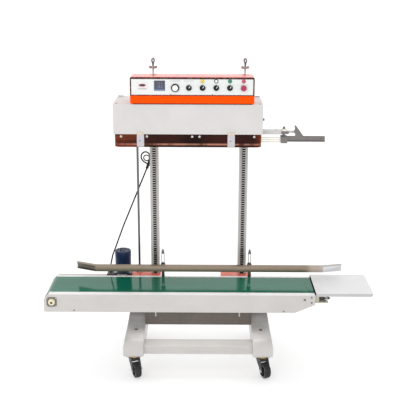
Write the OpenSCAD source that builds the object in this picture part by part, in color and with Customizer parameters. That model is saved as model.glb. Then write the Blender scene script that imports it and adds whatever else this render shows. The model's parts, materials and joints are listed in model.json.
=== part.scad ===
// Continuous band sealer on a wheeled stand: a belt conveyor below, a sealing head that climbs
// two racked posts above. X runs along the belt, Y to the back, Z up, millimetres.
// The origin is on the floor, at the centre of the bounding box.

/* [Conveyor] */
// Height of the belt's upper face above the floor
belt_top = 471; // [460:1:480]
// Width of the belt
belt_w = 180; // [170:1:182]
// Radius of the drive and tail rollers
roller_r = 34; // [33:0.5:34]
// Front face of the conveyor's front panel
conv_front = -295; // [-296:1:-294]
// Height of the side panels
panel_h = 85; // [84:1:88]
// Length of the infeed table
table_l = 258; // [200:1:258]

/* [Stand] */
// Distance between the two post centres
post_gap = 413; // [410:1:416]
// Width of a square post
post_w = 40; // [38:1:40]
// Height of the post tops above the floor
post_top = 1400; // [1396:1:1402]
// Distance between the inner faces of the legs
leg_gap = 516; // [516:1:524]
// Underside of the legs above the floor
leg_z = 108; // [108:1:109]
// Radius of a caster wheel
wheel_r = 37.5; // [36:0.5:37.5]
// Angle at which the casters stand; the left rear one is turned the other way
caster_turn = 23; // [0:1:40]

/* [Head] */
// Height of the sealing head's shield edge above the floor, at the top of its travel
head_z = 1144; // [1140:1:1148]
// Module of the lift rack
rack_module = 3.5; // [3.5:0.5:3.5]
// Teeth of a lift pinion
pinion_teeth = 12; // [12:1:12]
// Radius of a band wheel
band_wheel_r = 32; // [30:1:32]

/* [Hidden] */

// running clearance of a shaft in its bore, and sheet thickness
fit_gap = 0.05;
sheet = 2;

// colours
paint = [0.86, 0.84, 0.82];
orange = [1.0, 0.34, 0.02];
steel = [0.72, 0.72, 0.72];
dark = [0.13, 0.13, 0.14];

// stand
frame_cx = -46;
leg_w = 96;
leg_w_rear = 82;
leg_front = -197;
leg_rear = 307;
column_y0 = 4;
column_y1 = 64;
column_w = 73;
arm_y0 = -270;
nose_r = 38;
nose_z = 155;
foot_top = nose_z + nose_r;
fillet_r = 45;
column_z = 281;
arm_z = 386;
leg_in_l = frame_cx - leg_gap / 2;
leg_in_r = frame_cx + leg_gap / 2;
post_xs = [frame_cx - post_gap / 2, frame_cx + post_gap / 2];
post_r = post_w / 2;
post_base = 274;
tube_wall = 3;
post_in = post_r - tube_wall;

// casters: swivel axis of each, left and right, front and rear
caster_front_y = -152;
caster_rear_y = 252;
caster_fl = [leg_in_l - leg_w / 2, caster_front_y];
caster_fr = [leg_in_r + leg_w / 2, caster_front_y];
caster_rl = [leg_in_l - leg_w_rear / 2, caster_rear_y];
caster_rr = [leg_in_r + leg_w_rear / 2, caster_rear_y];
caster_trail = 33;
wheel_w = 32;
axle_r = 5;
race_top = leg_z - 4;
race_bottom = race_top - 9;

// conveyor
panel_z0 = belt_top - panel_h;
conv_left = -740;
conv_right = 480;
belt_y0 = conv_front + 32;
belt_y1 = belt_y0 + belt_w;
rear_face = belt_y1 + 17;
belt_t = 2;
roller_gap = 0.3;
roller_z = belt_top - belt_t - roller_gap - roller_r;
drive_x = -704;
tail_x = 441;
table_z0 = belt_top - 5;
table_z1 = belt_top + 9;
roller_shaft_r = 8;
bearing_shaft_bore = roller_shaft_r + fit_gap;

// chain drive: sprockets of 13 teeth on a 12.7 mm chain of 60 links
chain_pitch = 12.7;
sprocket_teeth = 13;
sprocket_pcr = chain_pitch / (2 * sin(180 / sprocket_teeth));
chain_centres = 23.5 * chain_pitch;
gear_out_x = drive_x + chain_centres;
sprocket_y0 = -50;
sprocket_y1 = -43;
guard_r = 31;

// motor and vertical shaft
motor_x = -409;
motor_y = 5;
motor_r = 38.5;
motor_z0 = 474;
motor_z1 = 578;
plate_front = -64;
shaft_x = -329;
shaft_y = -10;
shaft_r = 5;

// guide rail
rail_y0 = -140;
rail_y1 = -117;
rail_z0 = 521;
rail_z1 = 548;
bracket_xs = [-213, 194];
bracket_y0 = -82;
bracket_y1 = -77;
stud_r = 4;

// head, everything above head_z rides with it
cover_x0 = -407;
cover_x1 = 225;
guide_z0 = head_z + 7;
guide_z1 = head_z + 28;
head_y0 = -280;
cover_y1 = -66;
cover_z0 = head_z + 56;
cover_z1 = head_z + 184;
plate_y0 = -64;
plate_y1 = -58;
deck_z0 = head_z + 70;
deck_z1 = deck_z0 + 6;
box_x0 = -333;
box_x1 = 187;
box_y1 = -180;
box_z0 = cover_z1;
box_z1 = box_z0 + 114;
strip_z1 = box_z0 + 38;
panel_y0 = head_y0 - 3;
knob_z = box_z0 + 70;
knob_shaft_r = 3;
speed_x = -144;
selector_xs = [-87, -30, 27, 84];
stop_x = 141;
lamp_z = box_z0 + 98;
lamp_xs = [-30, 27, 84, 141];

// sealing line and bands
seal_y = -173;
band_t = 1;
band_gap = 0.15;
band_z0 = head_z + 6;
band_z1 = band_z0 + 15;
band_offset = band_wheel_r + roller_gap + band_t + band_gap;
band_drive_x = -330;
band_idler_x = 165;
band_front_y = seal_y - band_offset;
band_rear_y = seal_y + band_offset;
spindle_r = 6;

// lift rack and pinion
rack_pitch = PI * rack_module;
rack_w = 14;
rack_z0 = 306;
rack_root = -post_r - 4;
rack_addendum = 0.68 * rack_module;
pitch_line = rack_root - 1.25 * rack_module;
pinion_r = rack_module * pinion_teeth / 2;
pinion_y = pitch_line - pinion_r;
pinion_z = head_z + 56;
pinion_root_r = pinion_r - rack_addendum - 0.9;
pinion_tip_r = pinion_r + 0.9 * rack_module;
tooth_backlash = 0.8;
pressure_angle = 20;
lift_shaft_r = 8;
crank_x = frame_cx;

// motor cable, from the gland on the gearbox plate up beside the left post, a loop, and into a grommet
cable_d = 5;
cable_route = [
    [-468, -20, 474], [-468, -20.5, 487.3], [-466.8, -22.6, 500.4], [-465.1, -24.4, 513.5],
    [-455.8, -28.1, 557.6], [-440, -27, 600], [-424.3, -21.6, 642.2], [-409, -15.2, 684.3],
    [-392.3, -8.6, 726], [-375, -1.7, 767.3], [-357.8, 5.5, 808.6], [-340.7, 12.2, 850],
    [-323.6, 17.6, 891.6], [-306.3, 22.1, 933.2], [-289.2, 25.4, 975.1], [-285.9, 25.9, 983.8],
    [-282.7, 26.3, 992.6], [-279.6, 26.8, 1001.5], [-276.7, 27.4, 1010.4], [-274.6, 28, 1019.5],
    [-274.1, 28.6, 1028.9], [-276.3, 29.3, 1037.9], [-281.3, 30, 1045.8], [-289.2, 30.9, 1050.6],
    [-298.4, 32, 1051.1], [-306.8, 33, 1047.2], [-312.8, 34.2, 1040.2], [-316, 35.6, 1031.5],
    [-316.1, 37, 1022.3], [-313.1, 38.5, 1013.5], [-308.1, 40.3, 1005.9], [-301.3, 42.1, 999.6],
    [-293.5, 43.3, 994.5], [-285.4, 43.1, 989.9], [-277.5, 41, 985.3], [-270.6, 37, 980.5],
    [-265.2, 31.2, 975.4], [-263, 23, 972]
];

cable_end = cable_route[len(cable_route) - 1];

// points of an arc
function arc(cx, cy, r, a0, a1, n = 8) =
    [for (i = [0:n]) let (a = a0 + (a1 - a0) * i / n) [cx + r * cos(a), cy + r * sin(a)]];
// a rectangle with rounded corners
function rrect(x0, y0, x1, y1, r) = concat(
    arc(x1 - r, y1 - r, r, 0, 90), arc(x0 + r, y1 - r, r, 90, 180),
    arc(x0 + r, y0 + r, r, 180, 270), arc(x1 - r, y0 + r, r, 270, 360));

// outline of a belt or chain that runs round two wheels
function loop(x0, x1, v, r, n) = concat(arc(x0, v, r, 90, 270, n), arc(x1, v, r, -90, 90, n));

module along_x(x0, x1) translate([x0, 0, 0]) rotate([90, 0, 90]) linear_extrude(x1 - x0) children();
module along_y(y0, y1) translate([0, y1, 0]) rotate([90, 0, 0]) linear_extrude(y1 - y0) children();
module along_z(z0, z1) translate([0, 0, z0]) linear_extrude(z1 - z0) children();
module block(a, b) translate(a) cube(b - a);
module rod_x(x0, x1, y, z, r)
    translate([x0, y, z]) rotate([0, 90, 0]) cylinder(h = x1 - x0, r = r, $fn = 48);
module rod_y(y0, y1, x, z, r, f = 48)
    translate([x, y1, z]) rotate([90, 0, 0]) cylinder(h = y1 - y0, r = r, $fn = f);
module rod_z(z0, z1, x, y, r, f = 48)
    translate([x, y, z0]) cylinder(h = z1 - z0, r = r, $fn = f);

// ---------------------------------------------------------------- stand

// side outline of a leg: base, column and the tapered arm that carries the conveyor
function leg_outline() = concat(
    arc(leg_front + 14, leg_z + 14, 14, 180, 270),
    arc(leg_rear - 10, leg_z + 10, 10, 270, 360),
    arc(leg_rear - 10, leg_z + 36, 10, 0, 74),
    arc(column_y1 + 36, 236, 36, 254, 180),
    [[column_y1, arm_z], [arm_y0, arm_z], [arm_y0, arm_z - 10]],
    [[column_y0 - 22, arm_z - 60]], arc(column_y0 - 22, arm_z - 82, 22, 90, 0),
    arc(column_y0 - fillet_r, foot_top + fillet_r, fillet_r, 0, -90),
    arc(leg_front + nose_r, nose_z, nose_r, 90, 180));

// a leg narrows towards the back in plan, and from the nose up to the column seen from the front
module leg(side) {
    x_in = side < 0 ? leg_in_l : leg_in_r;
    intersection() {
        along_x(min(x_in, x_in + side * leg_w), max(x_in, x_in + side * leg_w)) polygon(leg_outline());
        along_z(leg_z - 1, arm_z + 1) polygon([
            [x_in, arm_y0 - 1], [x_in + side * leg_w, arm_y0 - 1], [x_in + side * leg_w, leg_front],
            [x_in + side * leg_w_rear, leg_rear + 1], [x_in, leg_rear + 1]]);
        along_y(arm_y0 - 2, leg_rear + 2) polygon([
            [x_in, leg_z - 2], [x_in + side * leg_w, leg_z - 2], [x_in + side * leg_w, nose_z],
            [x_in + side * column_w, column_z], [x_in + side * column_w, arm_z + 2],
            [x_in, arm_z + 2]]);
    }
}

module legs() {
    color(paint) leg(-1);
    color(paint) leg(1);
}

module square_tube_x(y0, z0, y1, z1) difference() {
    along_x(leg_in_l, leg_in_r) polygon(rrect(y0, z0, y1, z1, 5));
    along_x(leg_in_l - 1, leg_in_r + 1)
        polygon(rrect(y0 + tube_wall, z0 + tube_wall, y1 - tube_wall, z1 - tube_wall, 2));
}

module crossbeams() {
    color(paint) square_tube_x(-184, 119, -107, 162);
    color(paint) square_tube_x(210, 122, 270, 162);
    color(paint) square_tube_x(-post_r, post_base - 80, post_r, post_base);
}

module posts() {
    for (x = post_xs) color(paint) difference() {
        along_z(post_base, post_top) polygon(rrect(x - post_r, -post_r, x + post_r, post_r, 3));
        along_z(post_base - 1, post_top + 1)
            polygon(rrect(x - post_in, -post_in, x + post_in, post_in, 1));
    }
}

function rack_tooth(z) = let (
    half = rack_pitch / 4 - tooth_backlash / 4,
    lean = tan(pressure_angle),
    tip_half = half - rack_addendum * lean,
    root_half = half + (rack_root - pitch_line) * lean,
    tip = pitch_line - rack_addendum)
    [[rack_root, z - root_half], [tip, z - tip_half], [tip, z + tip_half], [rack_root, z + root_half]];

// teeth are placed so that one stands in a pinion gap at the rest height
rack_phase = pinion_z - floor((pinion_z - rack_z0) / rack_pitch) * rack_pitch + rack_pitch / 2;
rack_count = floor((post_top - 10 - rack_phase) / rack_pitch);

module post_racks() {
    bottom = rack_phase - rack_pitch / 2;
    top = rack_phase + (rack_count - 0.5) * rack_pitch;
    for (x = post_xs) color(dark) along_x(x - rack_w / 2, x + rack_w / 2) polygon(concat(
        [[-post_r, bottom], [rack_root, bottom]],
        [for (i = [0:rack_count - 1]) each rack_tooth(rack_phase + i * rack_pitch)],
        [[rack_root, top], [-post_r, top]]));
}

eye_turn = 55;

module eye_stud(x) {
    // cap plate of the post
    color(paint) block([x - post_r, -post_r, post_top], [x + post_r, post_r, post_top + 5]);
    // stud and eye ring
    nut = post_top + 38;
    color(steel) rod_z(post_top + 5, post_top + 68, x, 0, 4);
    color(steel) translate([x, 0, post_top + 78]) rotate([0, 0, x < frame_cx ? eye_turn : -eye_turn])
        difference() {
            rod_y(-3, 3, 0, 0, 12);
            rod_y(-4, 4, 0, 0, 6.5);
        }
    // wing nut
    color(steel) difference() {
        union() {
            rod_z(nut, nut + 10, x, 0, 8);
            along_y(-1.5, 1.5) polygon([
                [x - 6, nut + 1], [x - 17, nut + 3], [x - 18, nut + 11], [x - 14, nut + 12.5],
                [x - 6, nut + 8], [x + 6, nut + 8],
                [x + 14, nut + 12.5], [x + 18, nut + 11], [x + 17, nut + 3], [x + 6, nut + 1]]);
        }
        rod_z(nut - 1, nut + 14, x, 0, 4 + fit_gap);
    }
}

module eye_studs() for (x = post_xs) eye_stud(x);

// ---------------------------------------------------------------- casters

module caster_plate(p) {
    color(steel) difference() {
        block([p[0] - 38, p[1] - 30, race_top], [p[0] + 38, p[1] + 30, leg_z]);
        rod_z(race_top - 1, leg_z + 1, p[0], p[1], 6.4);
    }
    color([0.8, 0.62, 0.3]) difference() {
        rod_z(race_bottom, race_top, p[0], p[1], 24);
        rod_z(race_bottom - 1, race_top + 1, p[0], p[1], 10);
    }
}

module caster_plates() for (p = [caster_fl, caster_fr, caster_rl, caster_rr]) caster_plate(p);

module caster_fork(p, turn) translate([p[0], p[1], 0]) rotate([0, 0, turn]) {
    // crown, its turned-down front lip and the kingpin
    color(dark) block([-wheel_w / 2 - 6, -24, race_bottom - 5], [wheel_w / 2 + 6, 24, race_bottom - 1]);
    color(dark) block([-wheel_w / 2 - 4, -24, race_bottom - 17], [wheel_w / 2 + 4, -21, race_bottom - 4]);
    color(steel) rod_z(race_bottom - 1, race_top + 2, 0, 0, 6.35);
    // cheeks
    for (x = [-wheel_w / 2 - 6, wheel_w / 2 + 3]) color(dark) along_x(x, x + 3) polygon([
        [-22, race_bottom - 5], [22, race_bottom - 5], [20, race_bottom - 16],
        [-caster_trail + 10, wheel_r - 5], [-caster_trail, wheel_r - 11],
        [-caster_trail - 10, wheel_r - 5], [-caster_trail - 10, wheel_r + 8]]);
    // axle with its nuts
    color(steel) rod_x(-wheel_w / 2 - 11, wheel_w / 2 + 11, -caster_trail, wheel_r, axle_r - fit_gap);
}

module caster_wheel(p, turn) translate([p[0], p[1], 0]) rotate([0, 0, turn]) {
    translate([-wheel_w / 2, -caster_trail, wheel_r]) rotate([0, 90, 0]) color(dark) difference() {
        rotate_extrude($fn = 64) polygon(concat(
            [[axle_r, 1], [14, 1], [18, 6], [28, 6], [30, 2]],
            [[wheel_r - 5, 0]], arc(wheel_r - 5, 5, 5, 270, 360, 4),
            arc(wheel_r - 5, wheel_w - 5, 5, 0, 90, 4),
            [[30, wheel_w - 2], [28, wheel_w - 6], [18, wheel_w - 6]],
            [[14, wheel_w - 1], [axle_r, wheel_w - 1]]));
    }
}

module caster_fork_fl() caster_fork(caster_fl, caster_turn);
module caster_fork_fr() caster_fork(caster_fr, caster_turn);
module caster_fork_rl() caster_fork(caster_rl, -caster_turn);
module caster_fork_rr() caster_fork(caster_rr, caster_turn);
module caster_wheel_fl() caster_wheel(caster_fl, caster_turn);
module caster_wheel_fr() caster_wheel(caster_fr, caster_turn);
module caster_wheel_rl() caster_wheel(caster_rl, -caster_turn);
module caster_wheel_rr() caster_wheel(caster_rr, caster_turn);

// ---------------------------------------------------------------- conveyor

function panel_outline() = [
    [conv_left, panel_z0], [390, panel_z0], [conv_right, panel_z0 + 39], [conv_right, belt_top],
    [conv_left + 22, belt_top], [conv_left, belt_top - 23]];

module side_panel(y_face, y_in, flange) {
    along_y(min(y_face, y_in), max(y_face, y_in)) polygon(panel_outline());
    // flange at the top and a shorter one at the bottom
    y_lip = y_in > y_face ? y_face + flange : y_face - flange;
    block([conv_left + 22, min(y_in, y_lip), belt_top - sheet], [conv_right, max(y_in, y_lip), belt_top]);
    block([conv_left, min(y_in, y_in + (y_in > y_face ? 22 : -11)), panel_z0],
        [390, max(y_in, y_in + (y_in > y_face ? 22 : -11)), panel_z0 + sheet]);
}

module front_panel() color(paint) difference() {
    side_panel(conv_front, conv_front + sheet, 31);
    rod_y(conv_front - 1, conv_front + 3, drive_x, roller_z, 17);
}

module rear_panel() color(paint) difference() {
    side_panel(rear_face, rear_face - sheet, 16);
    rod_y(rear_face - 3, rear_face + 1, drive_x, roller_z, 12);
}

module belt_bed() color(steel) difference() {
    block([drive_x + 44, conv_front + sheet, belt_top - 6],
        [tail_x - 44, rear_face - sheet, belt_top - 2.2]);
    // fixing holes along the front edge
    for (x = [-560:280:280]) rod_z(belt_top - 7, belt_top, x, conv_front + 16, 5);
}

module conveyor_belt() {
    belt_out = roller_r + roller_gap + belt_t;
    color([0.06, 0.36, 0.24]) along_y(belt_y0, belt_y1) difference() {
        polygon(loop(drive_x, tail_x, roller_z, belt_out, 24));
        polygon(loop(drive_x, tail_x, roller_z, belt_out - belt_t, 24));
    }
}

module roller_bearings() {
    // front bearing plate, housing and cap
    color(dark) difference() {
        along_y(conv_front - 2, conv_front)
            polygon(rrect(drive_x - 24, roller_z - 24, drive_x + 24, roller_z + 24, 6));
        rod_y(conv_front - 3, conv_front + 1, drive_x, roller_z, 9);
    }
    color([0.9, 0.82, 0.6]) difference() {
        rod_y(conv_front - 12, conv_front - 2, drive_x, roller_z, 15.5);
        rod_y(conv_front - 5, conv_front - 1, drive_x, roller_z, 10);
    }
    color(steel) difference() {
        rod_y(conv_front + sheet, conv_front + 14, drive_x, roller_z, 19);
        rod_y(conv_front, conv_front + 15, drive_x, roller_z, bearing_shaft_bore);
    }
    // rear bearing
    color(steel) difference() {
        rod_y(rear_face, rear_face + 11, drive_x, roller_z, 19);
        rod_y(rear_face - 1, rear_face + 12, drive_x, roller_z, bearing_shaft_bore);
    }
}

screw_z = belt_top - 15.5;

module tension_unit(y0, y1) {
    // sliding block that holds the roller shaft
    color(steel) difference() {
        block([tail_x - 18, y0, roller_z - 15], [tail_x + 14, y1, belt_top - 8]);
        rod_y(y0 - 1, y1 + 1, tail_x, roller_z, bearing_shaft_bore);
    }
    // end bracket with the screw through it
    color([0.84, 0.82, 0.72]) difference() {
        union() {
            along_y(y0, y1) polygon([
                [conv_right + 0.5, belt_top - 38], [conv_right + 58, belt_top - 36],
                [conv_right + 58, belt_top - 31], [conv_right + 17, belt_top - 31],
                [conv_right + 17, table_z0 - 0.2], [conv_right + 0.5, table_z0 - 0.2]]);
            block([conv_right + 48, y0, belt_top - 31], [conv_right + 54, y1, table_z0 - 3]);
        }
        rod_x(conv_right - 1, conv_right + 60, (y0 + y1) / 2, screw_z, 4.3);
    }
    color(dark) rod_x(tail_x + 14, conv_right + 66, (y0 + y1) / 2, screw_z, 4);
    // knurled lock nut
    color(dark) rod_x(conv_right + 18, conv_right + 44, (y0 + y1) / 2, screw_z, 6.5);
}

module tension_units() {
    tension_unit(conv_front + sheet, conv_front + sheet + 14);
    tension_unit(rear_face - sheet - 11, rear_face - sheet);
}

module infeed_table() color(paint) difference() {
    table_x0 = conv_right + 2;
    table_y1 = rear_face + 3;
    along_z(table_z0, table_z1) polygon(concat(
        [[table_x0, table_y1], [table_x0, conv_front]],
        arc(table_x0 + table_l - 16, conv_front + 16, 16, -90, 0),
        arc(table_x0 + table_l - 16, table_y1 - 16, 16, 0, 90)));
    // hollow underside
    block([table_x0 + 2, conv_front + sheet, table_z0 - 1],
        [table_x0 + table_l - 18, table_y1 - sheet, table_z1 - sheet]);
    block([table_x0 + table_l - 19, conv_front + 18, table_z0 - 1],
        [table_x0 + table_l - 2, table_y1 - 18, table_z1 - sheet]);
}

// ---------------------------------------------------------------- drive

module sprocket_disc(x) difference() {
    along_y(sprocket_y0, sprocket_y1) polygon([for (i = [0:sprocket_teeth - 1])
        let (a = i * 360 / sprocket_teeth)
        each [
            [x + (sprocket_pcr - 4.2) * cos(a - 6), roller_z + (sprocket_pcr - 4.2) * sin(a - 6)],
            [x + (sprocket_pcr - 4.2) * cos(a + 6), roller_z + (sprocket_pcr - 4.2) * sin(a + 6)],
            [x + (sprocket_pcr + 3) * cos(a + 12), roller_z + (sprocket_pcr + 3) * sin(a + 12)],
            [x + (sprocket_pcr + 3) * cos(a + 15.7), roller_z + (sprocket_pcr + 3) * sin(a + 15.7)]]]);
    rod_y(sprocket_y0 - 1, sprocket_y1 + 1, x, roller_z, roller_shaft_r);
}

module drive_roller() {
    color(steel) rod_y(belt_y0 + 1, belt_y1 - 1, drive_x, roller_z, roller_r);
    color(steel) rod_y(conv_front - 2, belt_y0 + 1, drive_x, roller_z, roller_shaft_r);
    color(steel) rod_y(belt_y1 - 1, sprocket_y1 + 1, drive_x, roller_z, roller_shaft_r);
    color(dark) sprocket_disc(drive_x);
}

module tail_roller() {
    color(steel) rod_y(belt_y0 + 1, belt_y1 - 1, tail_x, roller_z, roller_r);
    color(steel) rod_y(conv_front + 3, belt_y0 + 1, tail_x, roller_z, roller_shaft_r);
    color(steel) rod_y(belt_y1 - 1, rear_face - 3, tail_x, roller_z, roller_shaft_r);
}

module motor_sprocket() {
    color(steel) rod_y(sprocket_y0 - 2, -22, gear_out_x, roller_z, roller_shaft_r);
    color(dark) sprocket_disc(gear_out_x);
}

// the two runs of side plates; rollers stand only on the straight runs
module chain_side(y0, y1) along_y(y0, y1) difference() {
    polygon(loop(drive_x, gear_out_x, roller_z, sprocket_pcr + 4, 18));
    polygon(loop(drive_x, gear_out_x, roller_z, sprocket_pcr - 4, 18));
}

module drive_chain() color([0.35, 0.33, 0.3]) {
    chain_side(sprocket_y0 - 2.5, sprocket_y0 - 0.6);
    chain_side(sprocket_y1 + 0.6, sprocket_y1 + 2.5);
    for (i = [2:21]) for (z = [-1, 1])
        rod_y(sprocket_y0 - 1, sprocket_y1 + 1,
            drive_x + i * chain_pitch, roller_z + z * sprocket_pcr, 3, 16);
}

module guard_shape(r) polygon(loop(drive_x, gear_out_x, roller_z, r, 18));

module chain_guard() color(paint) difference() {
    along_y(rear_face, sprocket_y1 + 5) guard_shape(guard_r + 1.5);
    along_y(rear_face - 1, sprocket_y1 + 3.5) guard_shape(guard_r);
    rod_y(-45, -30, gear_out_x, roller_z, roller_shaft_r + 1);
}

module gearbox() {
    color(dark) difference() {
        block([-470, -37, panel_z0 + 6], [-368, 45, motor_z0 - 8]);
        rod_y(-38, -18, gear_out_x, roller_z, bearing_shaft_bore);
    }
    // foot on the conveyor arm, and top plate
    color(dark) block([-470, -30, panel_z0], [-368, 45, panel_z0 + 6]);
    color(dark) block([-482, -37, motor_z0 - 8], [-366.5, 50, motor_z0 - 4]);
    // front lip over the chain guard, with a bright clamp plate let into it
    color(dark) difference() {
        block([-482, plate_front, motor_z0 - 6], [-366.5, -36, motor_z0]);
        block([-433, plate_front - 1, motor_z0 - 5], [-386, -50, motor_z0 + 1]);
    }
    color(steel) block([-432.7, plate_front, motor_z0 - 5], [-386.3, -50, motor_z0]);
    color(steel) difference() {
        block([-450, -35.7, motor_z0 - 4], [-369, 48, motor_z0]);
        block([-475, -31, motor_z0 - 5], [-451, -9, motor_z0 + 1]);
    }
    // cable gland
    color(dark) rod_z(motor_z0 - 4, motor_z0, cable_route[0][0], cable_route[0][1], 6);
}

module motor() color([0.1, 0.14, 0.32]) {
    translate([motor_x, motor_y, motor_z0]) rotate_extrude($fn = 64) polygon(concat(
        [[0, 0], [motor_r, 0], [motor_r, 8], [motor_r - 1.5, 10], [motor_r - 1.5, 76], [motor_r, 78]],
        arc(motor_r - 4, motor_z1 - motor_z0 - 5, 4, 0, 80, 6), [[0, motor_z1 - motor_z0]]));
}

module drive_shaft() color([0.3, 0.28, 0.27]) rod_z(panel_z0 + 8, post_top - 6, shaft_x, shaft_y, shaft_r);

module cover_shell(x0, x1, post_x) difference() {
    block([x0, rear_face, panel_z0], [x1, 30, belt_top - 2]);
    block([x0 + sheet, rear_face + sheet, panel_z0 - 1], [x1 - sheet, 28, belt_top - 4]);
    // cut-outs for the post and its rack
    block([post_x - post_r - 0.3, -post_r - 0.3, belt_top - 10],
        [post_x + post_r + 0.3, post_r + 0.3, belt_top + 1]);
    block([post_x - rack_w / 2 - 1, -post_r - 14, belt_top - 10],
        [post_x + rack_w / 2 + 1, 0, belt_top + 1]);
}

module post_covers() {
    color(orange) difference() {
        cover_shell(-365, -227, post_xs[0]);
        rod_z(belt_top - 10, belt_top + 1, shaft_x, shaft_y, 8);
    }
    color(orange) cover_shell(60, 206, post_xs[1]);
    // flange bearing of the vertical shaft
    color(steel) difference() {
        rod_z(belt_top - 2, belt_top + 5, shaft_x, shaft_y, 14);
        rod_z(belt_top - 3, belt_top + 6, shaft_x, shaft_y, shaft_r + fit_gap);
    }
}

// ---------------------------------------------------------------- guide rail

module rail_brackets() for (x = bracket_xs) color(steel) {
    difference() {
        along_y(bracket_y0, bracket_y1) polygon([
            [x - 7, belt_top], [x + 7, belt_top], [x + 7, belt_top + 126], [x + 2, belt_top + 141],
            [x - 2, belt_top + 141], [x - 7, belt_top + 126]]);
        along_y(bracket_y0 - 1, bracket_y1 + 1)
            polygon(rrect(x - stud_r - 0.3, 504, x + stud_r + 0.3, 588, stud_r));
    }
    // foot
    block([x - 7, bracket_y1, belt_top], [x + 7, rear_face, belt_top + 4]);
}

// plan outline of one side of the rail; the ends bend back
rail_bend_l = 40;
rail_bend_r = 22;
function rail_front(d) = [
    [-616, rail_y0 + rail_bend_l + d], [-524, rail_y0 + d],
    [532, rail_y0 + d], [622, rail_y0 + rail_bend_r + d]];
function rail_back(d) = [
    [622, rail_y1 + rail_bend_r - d], [532, rail_y1 - d],
    [-524, rail_y1 - d], [-616, rail_y1 + rail_bend_l - d]];

module guide_rail() {
    color([0.6, 0.57, 0.53]) difference() {
        along_z(rail_z0, rail_z1) polygon(concat(rail_front(0), rail_back(0)));
        along_z(rail_z0 + 1.5, rail_z1 - 1.5) polygon(concat(
            [for (p = rail_front(1.5)) [p[0] * 1.01, p[1]]],
            [for (p = rail_back(1.5)) [p[0] * 1.01, p[1]]]));
    }
    for (x = bracket_xs) {
        // stud, spacer and clamp knob
        color(steel) rod_y(rail_y1, -64, x, 530, stud_r);
        color(steel) difference() {
            rod_y(rail_y1, bracket_y0 - 0.3, x, 530, 7);
            rod_y(rail_y1 - 1, bracket_y0, x, 530, stud_r);
        }
        color(dark) difference() {
            rod_y(bracket_y1 + 0.3, -65, x, 530, 11);
            rod_y(bracket_y1, -60, x, 530, stud_r);
        }
    }
}

// ---------------------------------------------------------------- cable and small fasteners

// frames along the cable: each ring lies across the direction of travel
function unit(v) = v / norm(v);
function route_dir(i) = unit(cable_route[min(i + 1, len(cable_route) - 1)] - cable_route[max(i - 1, 0)]);
module motor_cable() {
    sides = 8;
    rings = len(cable_route);
    points = [for (i = [0:rings - 1]) let (
        d = (i == 0) ? [0, 0, 1] : (i == rings - 1) ? [0, -1, 0] : route_dir(i),
        u = unit(cross(d, [0.94, 0.34, 0])),
        v = cross(d, u))
        for (k = [0:sides - 1]) let (a = k * 360 / sides)
            cable_route[i] + cable_d / 2 * (cos(a) * u + sin(a) * v)];
    faces = concat(
        [[for (k = [0:sides - 1]) sides - 1 - k]],
        [for (i = [0:rings - 2]) for (k = [0:sides - 1])
            let (a = i * sides + k, b = i * sides + (k + 1) % sides) [a, b, b + sides, a + sides]],
        [[for (k = [0:sides - 1]) (rings - 1) * sides + k]]);
    color(dark) polyhedron(points, faces);
}

module bolt_front(x, z, r, h = 3) rod_y(conv_front - h, conv_front, x, z, r, 24);

module frame_fasteners() {
    color(steel) {
        bolt_front(463, belt_top - 10, 3.5);
        bolt_front(464, belt_top - 35, 3.5);
        bolt_front(433, belt_top - 21, 4.5, 4);
        bolt_front(-605, panel_z0 + 8, 3, 2);
        bolt_front(340, panel_z0 + 8, 3, 2);
    }
    // bolt caps on the feet's tops
    color(steel) for (x = [leg_in_l - 43, leg_in_r + 43])
        rod_z(foot_top, foot_top + 3, x, -72, 8.5, 32);
    // grommet for the cable in the back of the left post
    color(dark) rod_y(post_r, post_r + 3, cable_end[0], cable_end[2], 6);
}

// ---------------------------------------------------------------- head

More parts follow.
